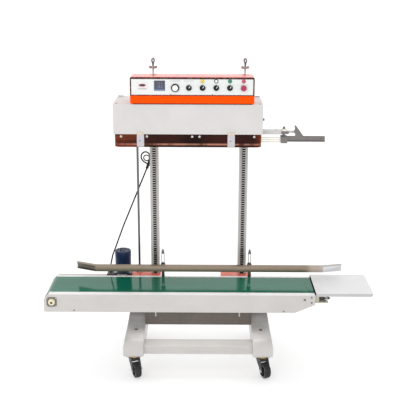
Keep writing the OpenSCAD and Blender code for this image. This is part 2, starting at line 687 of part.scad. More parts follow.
module head_carriage() {
    color(paint) difference() {
        block([cover_x0 + 6, plate_y0, head_z + 6], [cover_x1 - 6, plate_y1, cover_z1 - 3]);
        // window for each pinion
        for (x = post_xs)
            block([x - rack_w / 2 - 2, plate_y0 - 1, pinion_z - 28],
                [x + rack_w / 2 + 2, plate_y1 + 1, pinion_z + 28]);
        // window for the mitre gear
        block([crank_x - 33, plate_y0 - 1, pinion_z - 28], [crank_x - 15, plate_y1 + 1, pinion_z + 28]);
    }
    // guide blocks: front and sides of the post, and one lip behind it
    for (i = [0, 1]) color(steel) let (x = post_xs[i], side = i == 0 ? 1 : -1) difference() {
        union() {
            block([x - post_r - 8, plate_y1, head_z + 90], [x + post_r + 8, 5, head_z + 176]);
            block([x + (side > 0 ? post_r + 0.4 : -post_r - 8), 5, head_z + 90],
                [x + (side > 0 ? post_r + 8 : -post_r - 0.4), post_r + 8, head_z + 176]);
            block([x + (side > 0 ? 0 : -post_r - 8), post_r + 0.4, head_z + 90],
                [x + (side > 0 ? post_r + 8 : 0), post_r + 8, head_z + 176]);
        }
        block([x - post_r - 0.4, -post_r - 0.4, head_z + 89], [x + post_r + 0.4, post_r + 0.4, head_z + 177]);
        block([x - rack_w / 2 - 1, -post_r - 14, head_z + 89], [x + rack_w / 2 + 1, 0, head_z + 177]);
    }
    // bearings of the lift shaft, and the take-off block on the vertical shaft
    for (x = [post_xs[0] + 40, post_xs[1] - 40]) color(steel) difference() {
        block([x - 6, plate_y1, pinion_z - 16], [x + 6, pinion_y + 18, pinion_z + 16]);
        rod_x(x - 7, x + 7, pinion_y, pinion_z, lift_shaft_r + fit_gap);
    }
    color(steel) difference() {
        block([shaft_x - 16, plate_y1, head_z + 24], [shaft_x + 16, 8, head_z + 54]);
        rod_z(head_z + 23, head_z + 55, shaft_x, shaft_y, shaft_r + fit_gap);
    }
    // bearing arm of the crank
    color(steel) difference() {
        block([crank_x - 14, plate_y1, pinion_z + 26], [crank_x + 14, 60, pinion_z + 32]);
        block([crank_x - 7, pinion_y - 8, pinion_z + 25], [crank_x + 7, pinion_y + 8, pinion_z + 33]);
    }
    color(steel) difference() {
        block([crank_x - 14, 40, pinion_z - 12], [crank_x + 14, 52, pinion_z + 26]);
        rod_y(39, 53, crank_x, pinion_z, 6 + fit_gap);
    }
}

module head_cover() color(paint) difference() {
    block([cover_x0, head_y0, cover_z0], [cover_x1, cover_y1, cover_z1]);
    block([cover_x0 + sheet, head_y0 + sheet, cover_z0 - 1],
        [cover_x1 - sheet, cover_y1 + 1, cover_z1 - sheet]);
}

function shield_outline(d) = concat(
    arc(cover_x0 + 3 + 24, head_y0 + 2.5 + 24, 24 - d, 180, 270, 12),
    arc(cover_x1 - 3 - 24, head_y0 + 2.5 + 24, 24 - d, 270, 360, 12));

module shield() color([0.36, 0.16, 0.05, 0.8]) difference() {
    along_z(head_z, deck_z0 - 2)
        polygon(concat(shield_outline(0), [[cover_x1 - 3, -222], [cover_x0 + 3, -222]]));
    along_z(head_z - 1, deck_z0)
        polygon(concat(shield_outline(3), [[cover_x1 - 6, -221], [cover_x0 + 6, -221]]));
}

module shield_clips() for (x = [-308, 77]) color(paint) {
    difference() {
        union() {
            block([x, head_y0 - sheet, head_z + 2], [x + 31, head_y0, head_z + 66]);
            block([x, head_y0, head_z + 2], [x + 31, head_y0 + 2.5, head_z + 54]);
        }
        rod_y(head_y0 - 3, head_y0 + 3, x + 15.5, head_z + 10, 2);
    }
}

module sealing_deck() color(steel) difference() {
    union() {
        block([cover_x0 + 12, head_y0 + 8, deck_z0], [cover_x1 - 12, plate_y0, deck_z1]);
        // hangers of the shield
        for (x = [-375, -73, 190]) block([x - 8, head_y0 + 5.7, deck_z0 - 12], [x + 8, head_y0 + 8, deck_z1]);
    }
    for (x = [band_drive_x, band_idler_x]) for (y = [band_front_y, band_rear_y])
        rod_z(deck_z0 - 1, deck_z1 + 1, x, y, spindle_r + fit_gap);
    // notches for the pinions and the mitre gear
    for (x = concat(post_xs, [crank_x - 24]))
        block([x - rack_w / 2 - 2, plate_y0 - 12, deck_z0 - 1],
            [x + rack_w / 2 + 2, plate_y0 + 1, deck_z1 + 1]);
}

module control_box() color(orange) difference() {
    along_y(head_y0, box_y1) polygon(rrect(box_x0, box_z0, box_x1, box_z1, 9));
    along_y(head_y0 + sheet, box_y1 - sheet)
        polygon(rrect(box_x0 + sheet, box_z0 + sheet, box_x1 - sheet, box_z1 - sheet, 7));
    for (x = concat([speed_x], selector_xs, [stop_x]))
        rod_y(head_y0 - 1, head_y0 + sheet + 1, x, knob_z, knob_shaft_r + fit_gap);
}

module control_panel() color([0.9, 0.89, 0.88]) difference() {
    along_y(panel_y0, head_y0) polygon(rrect(box_x0 + 2, strip_z1, box_x1 - 2, box_z1 - 2, 6));
    for (x = concat([speed_x], selector_xs, [stop_x]))
        rod_y(panel_y0 - 1, head_y0 + 1, x, knob_z, knob_shaft_r + fit_gap);
}

module display() color(dark) {
    along_y(panel_y0 - 3, panel_y0) polygon(rrect(-231.5, box_z0 + 58, -186.5, box_z0 + 100, 3));
}

module indicator_lamps() for (i = [0:3])
    color([[0.9, 0.7, 0.1], [0.9, 0.9, 0.9], [0.1, 0.6, 0.3], [0.8, 0.1, 0.1]][i])
        along_y(panel_y0 - 3, panel_y0)
            polygon(rrect(lamp_xs[i] - 9, lamp_z - 6, lamp_xs[i] + 9, lamp_z + 6, 3));

function band_loop(y, r) = loop(band_drive_x, band_idler_x, y, r, 20);

module sealing_bands() for (y = [band_front_y, band_rear_y])
    color([0.75, 0.6, 0.42]) along_z(band_z0, band_z1) difference() {
    polygon(band_loop(y, band_wheel_r + roller_gap + band_t));
    polygon(band_loop(y, band_wheel_r + roller_gap));
}

module press_block(x0, x1, side) {
    y_near = seal_y + side * (band_gap + band_t + 0.1);
    y_far = y_near + side * 14;
    block([x0, min(y_near, y_far), band_z0 - 2], [x1, max(y_near, y_far), band_z1 + 3]);
    for (x = [x0 + 12, x1 - 12]) rod_z(band_z1 + 3, deck_z0, x, (y_near + y_far) / 2, 4, 24);
}

module heating_blocks() for (side = [-1, 1]) {
    color([0.8, 0.6, 0.3]) press_block(-250, -130, side);
    color(steel) press_block(-80, 40, side);
}

module band_wheel(x, y) {
    color([0.55, 0.2, 0.1]) rod_z(band_z0, band_z1, x, y, band_wheel_r, 64);
    color(steel) rod_z(band_z1, deck_z1 + 14, x, y, spindle_r);
    color(steel) difference() {
        rod_z(deck_z1 + 0.5, deck_z1 + 10, x, y, 14);
        rod_z(deck_z1, deck_z1 + 11, x, y, spindle_r);
    }
}

module band_wheel_front_drive() band_wheel(band_drive_x, band_front_y);
module band_wheel_front_idler() band_wheel(band_idler_x, band_front_y);
module band_wheel_rear_drive() band_wheel(band_drive_x, band_rear_y);
module band_wheel_rear_idler() band_wheel(band_idler_x, band_rear_y);

// ---------------------------------------------------------------- lift

// one side of an involute tooth, from the base circle out
base_r = pinion_r * cos(pressure_angle);
function inv_at(r) = let (c = acos(base_r / r)) tan(c) * 180 / PI - c;
half_tooth = 90 / pinion_teeth - tooth_backlash / 4 / pinion_r * 180 / PI;
function flank(r) = half_tooth + inv_at(pinion_r) - inv_at(r);
flank_steps = 5;
flank_rs = [for (i = [0:flank_steps]) base_r + 0.01 + (pinion_tip_r - base_r - 0.01) * i / flank_steps];

function polar(r, a) = [pinion_y + r * cos(a), pinion_z + r * sin(a)];

module pinion_teeth_shape() polygon([
    for (i = [0:pinion_teeth - 1]) let (a = i * 360 / pinion_teeth) each concat(
    [polar(pinion_root_r, a - flank(flank_rs[0]) - 1)],
    [for (r = flank_rs) polar(r, a - flank(r))],
    [for (j = [0:flank_steps]) let (r = flank_rs[flank_steps - j]) polar(r, a + flank(r))],
    [polar(pinion_root_r, a + flank(flank_rs[0]) + 1)])]);

module lift_shaft() {
    color(steel) rod_x(post_xs[0] - 14, post_xs[1] + 14, pinion_y, pinion_z, lift_shaft_r);
    for (x = post_xs) color(steel) difference() {
        along_x(x - rack_w / 2, x + rack_w / 2) pinion_teeth_shape();
        rod_x(x - rack_w, x + rack_w, pinion_y, pinion_z, lift_shaft_r);
    }
    // mitre gear blank
    color(steel) translate([crank_x - 30, pinion_y, pinion_z]) rotate([0, 90, 0]) difference() {
        cylinder(h = 12, r1 = 24, r2 = 12, $fn = 48);
        translate([0, 0, -1]) cylinder(h = 14, r = lift_shaft_r, $fn = 48);
    }
}

crank_start = pinion_y + lift_shaft_r + 5;
module lift_crank() {
    color(steel) rod_y(crank_start, 78, crank_x, pinion_z, 6);
    // mitre gear blank facing the one on the lift shaft
    color(steel) translate([crank_x, crank_start + 17, pinion_z]) rotate([90, 0, 0]) difference() {
        cylinder(h = 12, r1 = 24, r2 = 14, $fn = 48);
        translate([0, 0, -1]) cylinder(h = 14, r = 6, $fn = 48);
    }
    // arm and grip
    color(dark) difference() {
        along_y(66, 74)
            polygon(concat(arc(crank_x, pinion_z, 12, 0, 180), arc(crank_x, pinion_z - 80, 9, 180, 360)));
        rod_y(65, 79, crank_x, pinion_z, 6);
    }
    color(dark) rod_y(74, 124, crank_x, pinion_z - 80, 9);
}

// ---------------------------------------------------------------- controls

module knob(x, r, h, shade) {
    color(dark) rod_y(panel_y0 - 3.3, panel_y0 - 0.3, x, knob_z, r);
    color(shade) rod_y(panel_y0 - h, panel_y0 - 3.3, x, knob_z, r - 2.5);
    color(steel) rod_y(panel_y0 - 0.3, head_y0 + 12, x, knob_z, knob_shaft_r);
}

module selector(x) {
    knob(x, 12, 8, dark);
    // pointer bar
    color(dark) block([x - 2.5, panel_y0 - 15, knob_z - 9], [x + 2.5, panel_y0 - 8, knob_z + 9]);
}

module speed_knob() knob(speed_x, 17, 17, [0.92, 0.92, 0.9]);
module selector_1() selector(selector_xs[0]);
module selector_2() selector(selector_xs[1]);
module selector_3() selector(selector_xs[2]);
module selector_4() selector(selector_xs[3]);

module stop_button() {
    color([0.8, 0.05, 0.05]) rod_y(panel_y0 - 14, panel_y0 - 5, stop_x, knob_z, 12.5);
    color(dark) rod_y(panel_y0 - 5, head_y0 + 10, stop_x, knob_z, knob_shaft_r);
}

// ---------------------------------------------------------------- infeed unit

module infeed_arm() {
    color(paint) difference() {
        block([cover_x1 - 21, -190, head_z + 39], [cover_x1 + 88, -160, head_z + 56]);
        for (x = [cover_x1 + 8, cover_x1 + 70]) rod_z(head_z + 38, head_z + 57, x, -175, 3);
    }
    // riser to the deck
    color(paint) block([cover_x1 - 21, -190, head_z + 56], [cover_x1 - 12.5, -160, deck_z0]);
}

module infeed_guide() {
    // clamp block below the arm's end, and the pulley block
    color(dark) block([cover_x1 + 87, -196, head_z + 1], [cover_x1 + 114, seal_y - 4, head_z + 29]);
    color(dark) block([cover_x1 + 87, seal_y + 4, head_z + 1], [cover_x1 + 114, -150, head_z + 29]);
    color(steel) block([cover_x1 + 88, -192, head_z + 41], [cover_x1 + 120, -156, head_z + 54]);
    for (y = [-188, -158]) color(steel) rod_z(head_z + 29, head_z + 41, cover_x1 + 100, y, 4, 24);
    // knob and round pulley on top
    color([0.9, 0.86, 0.76]) rod_z(head_z + 54, head_z + 62, cover_x1 + 100, -182, 12);
    color(steel) rod_z(head_z + 62, head_z + 72, cover_x1 + 100, -182, 5);
    color(steel) rod_x(cover_x1 + 120, cover_x1 + 146, -174, head_z + 48, 4);
    // guide channel: two folded plates either side of the bag line
    for (side = [-1, 1]) color(steel) {
        y0 = seal_y + side * 4;
        block([cover_x1 + 114, min(y0, y0 + side * 2), guide_z0],
            [cover_x1 + 280, max(y0, y0 + side * 2), guide_z1]);
        block([cover_x1 + 114, min(y0 + side * 2, y0 + side * 14), guide_z0],
            [cover_x1 + 280, max(y0 + side * 2, y0 + side * 14), guide_z0 + 2]);
    }
    // gusset over the channel, joined to its front plate
    color(steel) along_y(seal_y - 6, seal_y - 4) polygon([
        [cover_x1 + 150, guide_z1], [cover_x1 + 187, guide_z1], [cover_x1 + 152, head_z + 76],
        [cover_x1 + 147, head_z + 76]]);
    color(steel) block([cover_x1 + 146, seal_y - 5, head_z + 42], [cover_x1 + 162, -160, head_z + 54]);
    // three round belts towards the head
    for (z = [23, 14, 5]) color(dark) rod_x(cover_x1 - 5, cover_x1 + 87, seal_y - 12, head_z + z, 2.5);
}

legs();
crossbeams();
caster_plates();
posts();
post_racks();
eye_studs();
front_panel();
rear_panel();
belt_bed();
conveyor_belt();
roller_bearings();
tension_units();
motor();
gearbox();
drive_chain();
chain_guard();
rail_brackets();
post_covers();
motor_cable();
frame_fasteners();
infeed_table();
drive_roller();
motor_sprocket();
tail_roller();
guide_rail();
drive_shaft();
caster_fork_fl();
caster_fork_fr();
caster_fork_rl();
caster_fork_rr();
caster_wheel_fl();
caster_wheel_fr();
caster_wheel_rl();
caster_wheel_rr();
head_carriage();
head_cover();
shield();
shield_clips();
sealing_deck();
control_box();
control_panel();
display();
indicator_lamps();
sealing_bands();
heating_blocks();
infeed_arm();
infeed_guide();
band_wheel_front_drive();
band_wheel_front_idler();
band_wheel_rear_drive();
band_wheel_rear_idler();
lift_shaft();
lift_crank();
speed_knob();
selector_1();
selector_2();
selector_3();
selector_4();
stop_button();
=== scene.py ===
import json
import math

import bmesh
import bpy
from mathutils import Matrix, Vector


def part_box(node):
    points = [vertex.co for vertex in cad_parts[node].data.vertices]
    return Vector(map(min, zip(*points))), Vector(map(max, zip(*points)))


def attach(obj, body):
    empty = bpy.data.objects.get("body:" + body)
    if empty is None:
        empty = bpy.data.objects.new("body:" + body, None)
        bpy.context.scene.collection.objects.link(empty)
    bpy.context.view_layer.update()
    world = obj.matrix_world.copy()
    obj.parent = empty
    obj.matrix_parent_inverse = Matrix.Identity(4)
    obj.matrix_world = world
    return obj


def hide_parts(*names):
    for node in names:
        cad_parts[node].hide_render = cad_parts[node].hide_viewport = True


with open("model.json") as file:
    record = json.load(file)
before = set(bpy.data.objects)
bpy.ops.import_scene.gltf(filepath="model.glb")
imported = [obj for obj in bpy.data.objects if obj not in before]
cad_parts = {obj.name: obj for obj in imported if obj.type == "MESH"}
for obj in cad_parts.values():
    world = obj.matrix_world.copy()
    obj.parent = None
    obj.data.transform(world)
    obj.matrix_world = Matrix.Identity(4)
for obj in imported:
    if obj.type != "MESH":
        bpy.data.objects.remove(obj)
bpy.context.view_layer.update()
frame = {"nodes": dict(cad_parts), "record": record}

MM = 0.001
X_AXIS = Vector((1, 0, 0))
Y_AXIS = Vector((0, 1, 0))
Z_AXIS = Vector((0, 0, 1))
FRONT = Vector((0, -1, 0))


def vec(x, y, z):
    """A point given in millimetres, as metres."""
    return Vector((x * MM, y * MM, z * MM))


def shift(x, y, z):
    """A move given in millimetres."""
    return Matrix.Translation(vec(x, y, z))


def spin(degrees, axis):
    return Matrix.Rotation(math.radians(degrees), 4, axis)


def middle(node):
    """Centre of a CAD node, in millimetres."""
    return (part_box(node)[0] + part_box(node)[1]) / 2 / MM


def low(node):
    """Lowest corner of a CAD node, in millimetres."""
    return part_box(node)[0] / MM


def high(node):
    """Highest corner of a CAD node, in millimetres."""
    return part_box(node)[1] / MM


# ------------------------------------------------------------------ camera

CAMERA_AT = (-25.5, -3601.3, 1898.1)
CAMERA_PITCH = 16.556
CAMERA_YAW = 0.233
CAMERA_ROLL = 0.196
CAMERA_LENS = 71.89


def make_camera():
    data = bpy.data.cameras.new("camera")
    data.lens = CAMERA_LENS
    data.sensor_width = 36
    camera = bpy.data.objects.new("camera", data)
    turn = spin(CAMERA_YAW, "Z") @ spin(90 - CAMERA_PITCH, "X") @ spin(CAMERA_ROLL, "Z")
    camera.matrix_world = shift(*CAMERA_AT) @ turn
    bpy.context.collection.objects.link(camera)
    bpy.context.scene.camera = camera


make_camera()


# ------------------------------------------------------------------ material nodes

class Shader:
    """A node tree under construction, with short calls for the nodes used here."""

    def __init__(self, name, color, rough, metallic=0.0, **sockets):
        self.material = bpy.data.materials.new(name)
        self.material.use_nodes = True
        self.tree = self.material.node_tree
        self.tree.nodes.clear()
        self.out = self.tree.nodes.new("ShaderNodeOutputMaterial")
        self.bsdf = self.tree.nodes.new("ShaderNodeBsdfPrincipled")
        self.link(self.bsdf.outputs["BSDF"], self.out.inputs["Surface"])
        self.bsdf.inputs["Base Color"].default_value = (*color, 1)
        self.bsdf.inputs["Roughness"].default_value = rough
        self.bsdf.inputs["Metallic"].default_value = metallic
        for socket, value in sockets.items():
            self.bsdf.inputs[socket.replace("_", " ").title().replace("Ior", "IOR")].default_value = value
        self.material.diffuse_color = (*color, 1)
        self.place = self.tree.nodes.new("ShaderNodeTexCoord").outputs["Object"]
        self.height = None

    def link(self, a, b):
        self.tree.links.new(a, b)

    def put(self, socket, value):
        """Sets a socket to a number or colour, or links it to another node's output."""
        if isinstance(value, (int, float, tuple)):
            socket.default_value = value
        else:
            self.link(value, socket)

    def node(self, kind, **values):
        made = self.tree.nodes.new(kind)
        for key, value in values.items():
            setattr(made, key, value)
        return made

    def mapped(self, scale):
        """Object coordinates, stretched."""
        mapping = self.node("ShaderNodeMapping")
        mapping.inputs["Scale"].default_value = scale
        self.link(self.place, mapping.inputs["Vector"])
        return mapping.outputs["Vector"]

    def along(self, axis):
        """One object coordinate, X, Y or Z, in metres."""
        split = self.node("ShaderNodeSeparateXYZ")
        self.link(self.place, split.inputs["Vector"])
        return split.outputs[axis]

    def wave(self, direction, scale):
        wave = self.node("ShaderNodeTexWave", wave_type="BANDS", bands_direction=direction)
        wave.inputs["Scale"].default_value = scale
        self.link(self.place, wave.inputs["Vector"])
        return wave.outputs["Fac"]

    def noise(self, scale, detail=3.0, rough=0.55, stretch=(1, 1, 1)):
        noise = self.node("ShaderNodeTexNoise")
        noise.inputs["Scale"].default_value = scale
        noise.inputs["Detail"].default_value = detail
        noise.inputs["Roughness"].default_value = rough
        self.link(self.mapped(stretch), noise.inputs["Vector"])
        return noise.outputs["Fac"]

    def ramp(self, value, stops):
        ramp = self.node("ShaderNodeValToRGB")
        elements = ramp.color_ramp.elements
        while len(elements) < len(stops):
            elements.new(0.5)
        for element, (at, color) in zip(elements, stops):
            element.position = at
            element.color = (*color, 1)
        self.link(value, ramp.inputs["Fac"])
        return ramp.outputs["Color"]

    def tones(self, value, color, dark, light):
        """A colour that runs from one shade to another as the value rises."""
        return self.ramp(value, [(0.3, shade(color, dark)), (0.7, shade(color, light))])

    def spread(self, value, low_out, high_out, low_in=0.3, high_in=0.7):
        scale = self.node("ShaderNodeMapRange")
        limits = {"From Min": low_in, "From Max": high_in, "To Min": low_out, "To Max": high_out}
        for key, number in limits.items():
            scale.inputs[key].default_value = number
        self.link(value, scale.inputs["Value"])
        return scale.outputs["Result"]

    def mix(self, factor, a, b):
        mix = self.node("ShaderNodeMix", data_type="RGBA")
        for socket, value in ((mix.inputs["Factor"], factor), (mix.inputs["A"], a), (mix.inputs["B"], b)):
            self.put(socket, (*value, 1) if isinstance(value, tuple) else value)
        return mix.outputs["Result"]

    def math(self, operation, a, b):
        node = self.node("ShaderNodeMath", operation=operation)
        self.put(node.inputs[0], a)
        self.put(node.inputs[1], b)
        return node.outputs[0]

    def edges(self):
        """One on worn, convex edges and zero elsewhere."""
        return self.spread(self.node("ShaderNodeNewGeometry").outputs["Pointiness"], 0, 1, 0.52, 0.6)

    def hollows(self):
        """One in inner corners and zero elsewhere."""
        return self.spread(self.node("ShaderNodeNewGeometry").outputs["Pointiness"], 1, 0, 0.40, 0.49)

    def corner_darkened(self, base, amount, tone):
        """The base with that tone gathered in its inner corners."""
        return self.mix(self.math("MULTIPLY", self.hollows(), amount), base, tone)

    def peel(self, fine):
        """The fine orange peel and slow waves of a sprayed coat."""
        self.bump(self.noise(850, 2), fine, 0.0004)
        self.bump(self.noise(30, 2), 0.06, 0.002)

    def color(self, value):
        self.link(value, self.bsdf.inputs["Base Color"])

    def rough(self, value):
        self.link(value, self.bsdf.inputs["Roughness"])

    def bump(self, value, strength, distance):
        bump = self.node("ShaderNodeBump")
        bump.inputs["Strength"].default_value = strength
        bump.inputs["Distance"].default_value = distance
        self.link(value, bump.inputs["Height"])
        if self.height is not None:
            self.link(self.height, bump.inputs["Normal"])
        self.height = bump.outputs["Normal"]
        self.link(self.height, self.bsdf.inputs["Normal"])


def shade(color, factor):
    return tuple(min(1.0, c * factor) for c in color)


def painted(name, color, rough=0.38, wear=(0.45, 0.44, 0.43), coat=0.15, peel=0.10, tint=0.05, gloss=0.5):
    """Sprayed or powder-coated steel: orange peel, soft blotches, thin wear on edges, darker inner corners.
    """
    s = Shader(name, color, rough, coat_weight=coat, coat_roughness=0.12, specular_ior_level=gloss)
    blotch = s.noise(9, 4)
    base = s.tones(blotch, color, 1 - tint, 1 + tint * 0.5)
    speck = s.spread(s.noise(420, 2), 0, 0.10, 0.62, 0.75)
    base = s.mix(speck, base, shade(color, 0.7))
    base = s.corner_darkened(base, 0.35, shade(color, 0.62))
    chips = s.math("MULTIPLY", s.edges(), s.spread(s.noise(160, 4), 0, 0.6, 0.52, 0.7))
    s.color(s.mix(chips, base, wear))
    s.rough(s.spread(s.noise(35, 3), rough - 0.06, rough + 0.08))
    s.peel(peel)
    return s.material


def metal(name, color, rough=0.3, grain=(1, 60, 60), scale=60, streak=0.18, stain=0.12, highlight_zones=()):
    """Bare metal: a drawn or brushed grain, faint stains, brighter edges. The zones shift its tone along X,
    to paint highlights.
    """
    s = Shader(name, color, rough, 1.0)
    lines = s.noise(scale, 6, 0.65, grain)
    base = s.tones(lines, color, 1 - streak, 1 + streak * 0.6)
    spots = s.spread(s.noise(24, 5), 0, stain, 0.5, 0.75)
    base = s.mix(spots, base, shade(color, 0.55))
    for start, end, tone in highlight_zones:
        drawn = s.ramp(lines, [(0.3, shade(tone, 0.9)), (0.7, tone)])
        base = s.mix(s.spread(s.along("X"), 0, 1, start, end), base, drawn)
    base = s.mix(s.math("MULTIPLY", s.edges(), 0.45), base, shade(color, 1.35))
    base = s.corner_darkened(base, 0.5, shade(color, 0.35))
    s.color(base)
    s.rough(s.spread(lines, rough - 0.07, rough + 0.12))
    s.bump(lines, 0.10, 0.0004)
    return s.material


def plastic(name, color, rough=0.35, coat=0.0, gloss=0.4):
    """Moulded plastic with a fine spark-eroded grain and softly rubbed edges."""
    s = Shader(name, color, rough, coat_weight=coat, coat_roughness=0.08, specular_ior_level=gloss)
    base = s.tones(s.noise(14, 3), color, 0.92, 1.06)
    rubbed = s.math("MULTIPLY", s.edges(), 0.35)
    s.color(s.mix(rubbed, base, tuple(min(1.0, c * 1.3 + 0.04) for c in color)))
    s.rough(s.spread(s.noise(55, 3), rough - 0.05, rough + 0.08))
    s.bump(s.noise(700, 2), 0.08, 0.0003)
    return s.material


def rubber(name, color, rough=0.6, dust=0.15, gloss=0.3):
    s = Shader(name, color, rough, specular_ior_level=gloss)
    base = s.tones(s.noise(40, 4), color, 0.8, 1.2)
    dusty = s.spread(s.noise(120, 5), 0, dust, 0.45, 0.8)
    s.color(s.mix(dusty, base, (0.32, 0.31, 0.30)))
    s.rough(s.spread(s.noise(70, 3), rough - 0.08, rough + 0.1))
    s.bump(s.noise(900, 3), 0.12, 0.0004)
    return s.material


def belt_material():
    """Green PVC conveyor belt: gloss top with a faint woven carrier showing through and long scuffs."""
    color = (0.004, 0.128, 0.072)
    s = Shader("belt_pvc", color, 0.09, specular_tint=(0.84, 1.0, 0.97, 1))
    base = s.tones(s.noise(7, 4, 0.5, (0.4, 1, 1)), color, 0.85, 1.2)
    scuff = s.spread(s.noise(26, 6, 0.7, (0.12, 3, 3)), 0, 0.12, 0.56, 0.72)
    s.color(s.mix(scuff, base, (0.03, 0.12, 0.08)))
    s.rough(s.spread(s.noise(60, 4, 0.6, (0.2, 2, 2)), 0.06, 0.14))
    s.bump(s.math("MULTIPLY", s.wave("Y", 260), s.wave("X", 260)), 0.035, 0.0003)
    s.bump(s.noise(14, 2), 0.05, 0.001)
    return s.material


def amber_material():
    """Smoked amber acrylic: nearly black in the middle, a painted glow turning it orange towards its ends, a
    painted highlight along its lower edge, streaked and scratched.
    """
    x0 = low("shield").x * MM
    x1 = high("shield").x * MM
    foot = low("shield").z * MM
    s = Shader("amber_acrylic", (0.022, 0.006, 0.005), 0.14, ior=1.45, specular_ior_level=0.09)
    across = s.along("X")
    up = s.along("Z")
    dark = s.ramp(s.noise(6, 3), [(0.35, (0.008, 0.003, 0.003)), (0.65, (0.036, 0.010, 0.007))])
    # painted glow: orange towards both ends
    left = s.spread(across, 0.85, 0, x0 + 0.03, x0 + 0.15)
    right = s.spread(across, 0, 0.7, x1 - 0.035, x1 - 0.006)
    patches = s.spread(s.noise(26, 5, 0.65, (0.35, 1, 1.6)), 0.25, 1.0, 0.38, 0.62)
    body = s.mix(s.math("MULTIPLY", s.math("ADD", left, right), patches), dark, (0.30, 0.060, 0.018))
    # painted highlight: a paler band along the lower edge
    above = s.spread(up, 0, 1, foot + 0.007, foot + 0.011)
    below = s.spread(up, 1, 0, foot + 0.014, foot + 0.018)
    broken = s.spread(s.noise(13, 4, 0.6, (1, 1, 0.2)), 0.15, 1.0, 0.40, 0.58)
    line = s.math("MULTIPLY", s.math("MULTIPLY", above, below), broken)
    body = s.mix(line, body, (0.42, 0.18, 0.125))
    scratch = s.spread(s.noise(110, 5, 0.7, (0.08, 1, 3)), 0, 0.10, 0.60, 0.72)
    s.color(s.mix(scratch, body, (0.16, 0.07, 0.05)))
    s.rough(s.spread(s.noise(48, 4), 0.10, 0.22))
    s.bump(s.noise(10, 2), 0.04, 0.001)
    return s.material


def woven_material():
    """Coated glass cloth of the sealing bands."""
    color = (0.34, 0.21, 0.11)
    s = Shader("glass_cloth_band", color, 0.48, sheen_weight=0.1)
    warp = s.wave("DIAGONAL", 900)
    base = s.ramp(warp, [(0.2, shade(color, 0.75)), (0.8, shade(color, 1.15))])
    s.color(s.mix(s.spread(s.noise(60, 4), 0, 0.3), base, shade(color, 0.6)))
    s.rough(s.spread(s.noise(90, 3), 0.4, 0.6))
    s.bump(warp, 0.2, 0.0002)
    return s.material


def lamp_material(name, color, glow=0.25):
    """A small coloured lens with a moulded, faceted back."""
    s = Shader(name, color, 0.18, coat_weight=0.8, coat_roughness=0.05)
    s.color(s.tones(s.noise(220, 2), color, 0.75, 1.2))
    s.rough(s.spread(s.noise(90, 2), 0.12, 0.26))
    s.bsdf.inputs["Emission Color"].default_value = (*color, 1)
    s.bsdf.inputs["Emission Strength"].default_value = glow
    facets = s.node("ShaderNodeTexVoronoi")
    facets.inputs["Scale"].default_value = 450
    s.link(s.place, facets.inputs["Vector"])
    s.bump(facets.outputs["Distance"], 0.25, 0.0006)
    return s.material


def screen_material():
    s = Shader("display_glass", (0.05, 0.06, 0.09), 0.2, coat_weight=0.15, coat_roughness=0.08)
    smears = s.noise(40, 3, 0.5, (0.3, 1, 1))
    s.color(s.ramp(smears, [(0.3, (0.035, 0.045, 0.075)), (0.7, (0.075, 0.09, 0.125))]))
    s.rough(s.spread(s.noise(120, 4), 0.08, 0.2))
    s.bump(s.noise(500, 2), 0.03, 0.0002)
    return s.material


PAINT = painted("light_grey_paint", (0.575, 0.550, 0.530))
# a much lighter copy of the grey paint for the panels' top flanges: painted highlight
FLANGE_HIGHLIGHT = painted("light_grey_paint_flange_highlight", (0.88, 0.87, 0.86))
# a lighter copy of the grey paint for the head, the cross-beam's tabs and the infeed arm: painted light
PAINT_LIT = painted("light_grey_paint_lit", (0.635, 0.618, 0.605), rough=0.34)
# a darker copy of the table's paint for its front edge: painted shade
TABLE_EDGE_SHADE = painted("table_edge_shade", (0.50, 0.49, 0.495), rough=0.4)
TABLE_WHITE = painted("table_white_paint", (0.77, 0.76, 0.765), rough=0.34)
# dark taupe that paints the shade under the conveyor, on the upper cross-beam and the feet's bolt caps
SHADE_TAUPE = painted(
    "taupe_painted_shade", (0.138, 0.114, 0.098), rough=0.42, wear=(0.4, 0.38, 0.36), coat=0.0, tint=0.12)
PANEL_WHITE = painted("white_panel_foil", (0.77, 0.80, 0.785), rough=0.42, coat=0.05, peel=0.05, tint=0.02)
ORANGE = painted(
    "orange_paint", (0.97, 0.083, 0.0), rough=0.42, wear=(0.6, 0.25, 0.12), coat=0.0, tint=0.04, gloss=0.06)
# a pinker, paler copy of the orange paint for the control box's top: painted reflection
ORANGE_TOP_REFLECTION = painted(
    "orange_paint_top_reflection", (0.90, 0.10, 0.05), rough=0.22, wear=(0.7, 0.35, 0.3), coat=0.6, tint=0.04)
# a paler, pinker copy of the orange paint for the post covers: painted reflection
COVER_ORANGE_REFLECTION = painted(
    "orange_paint_cover_reflection", (0.80, 0.13, 0.075), rough=0.30, wear=(0.6, 0.3, 0.25), coat=0.3, tint=0.06)
MAROON = painted("maroon_edge", (0.050, 0.006, 0.008), rough=0.5, coat=0.0, gloss=0.15)
NAVY = painted(
    "navy_enamel", (0.009, 0.024, 0.075), rough=0.34, wear=(0.12, 0.14, 0.22), coat=0.0, gloss=0.25)
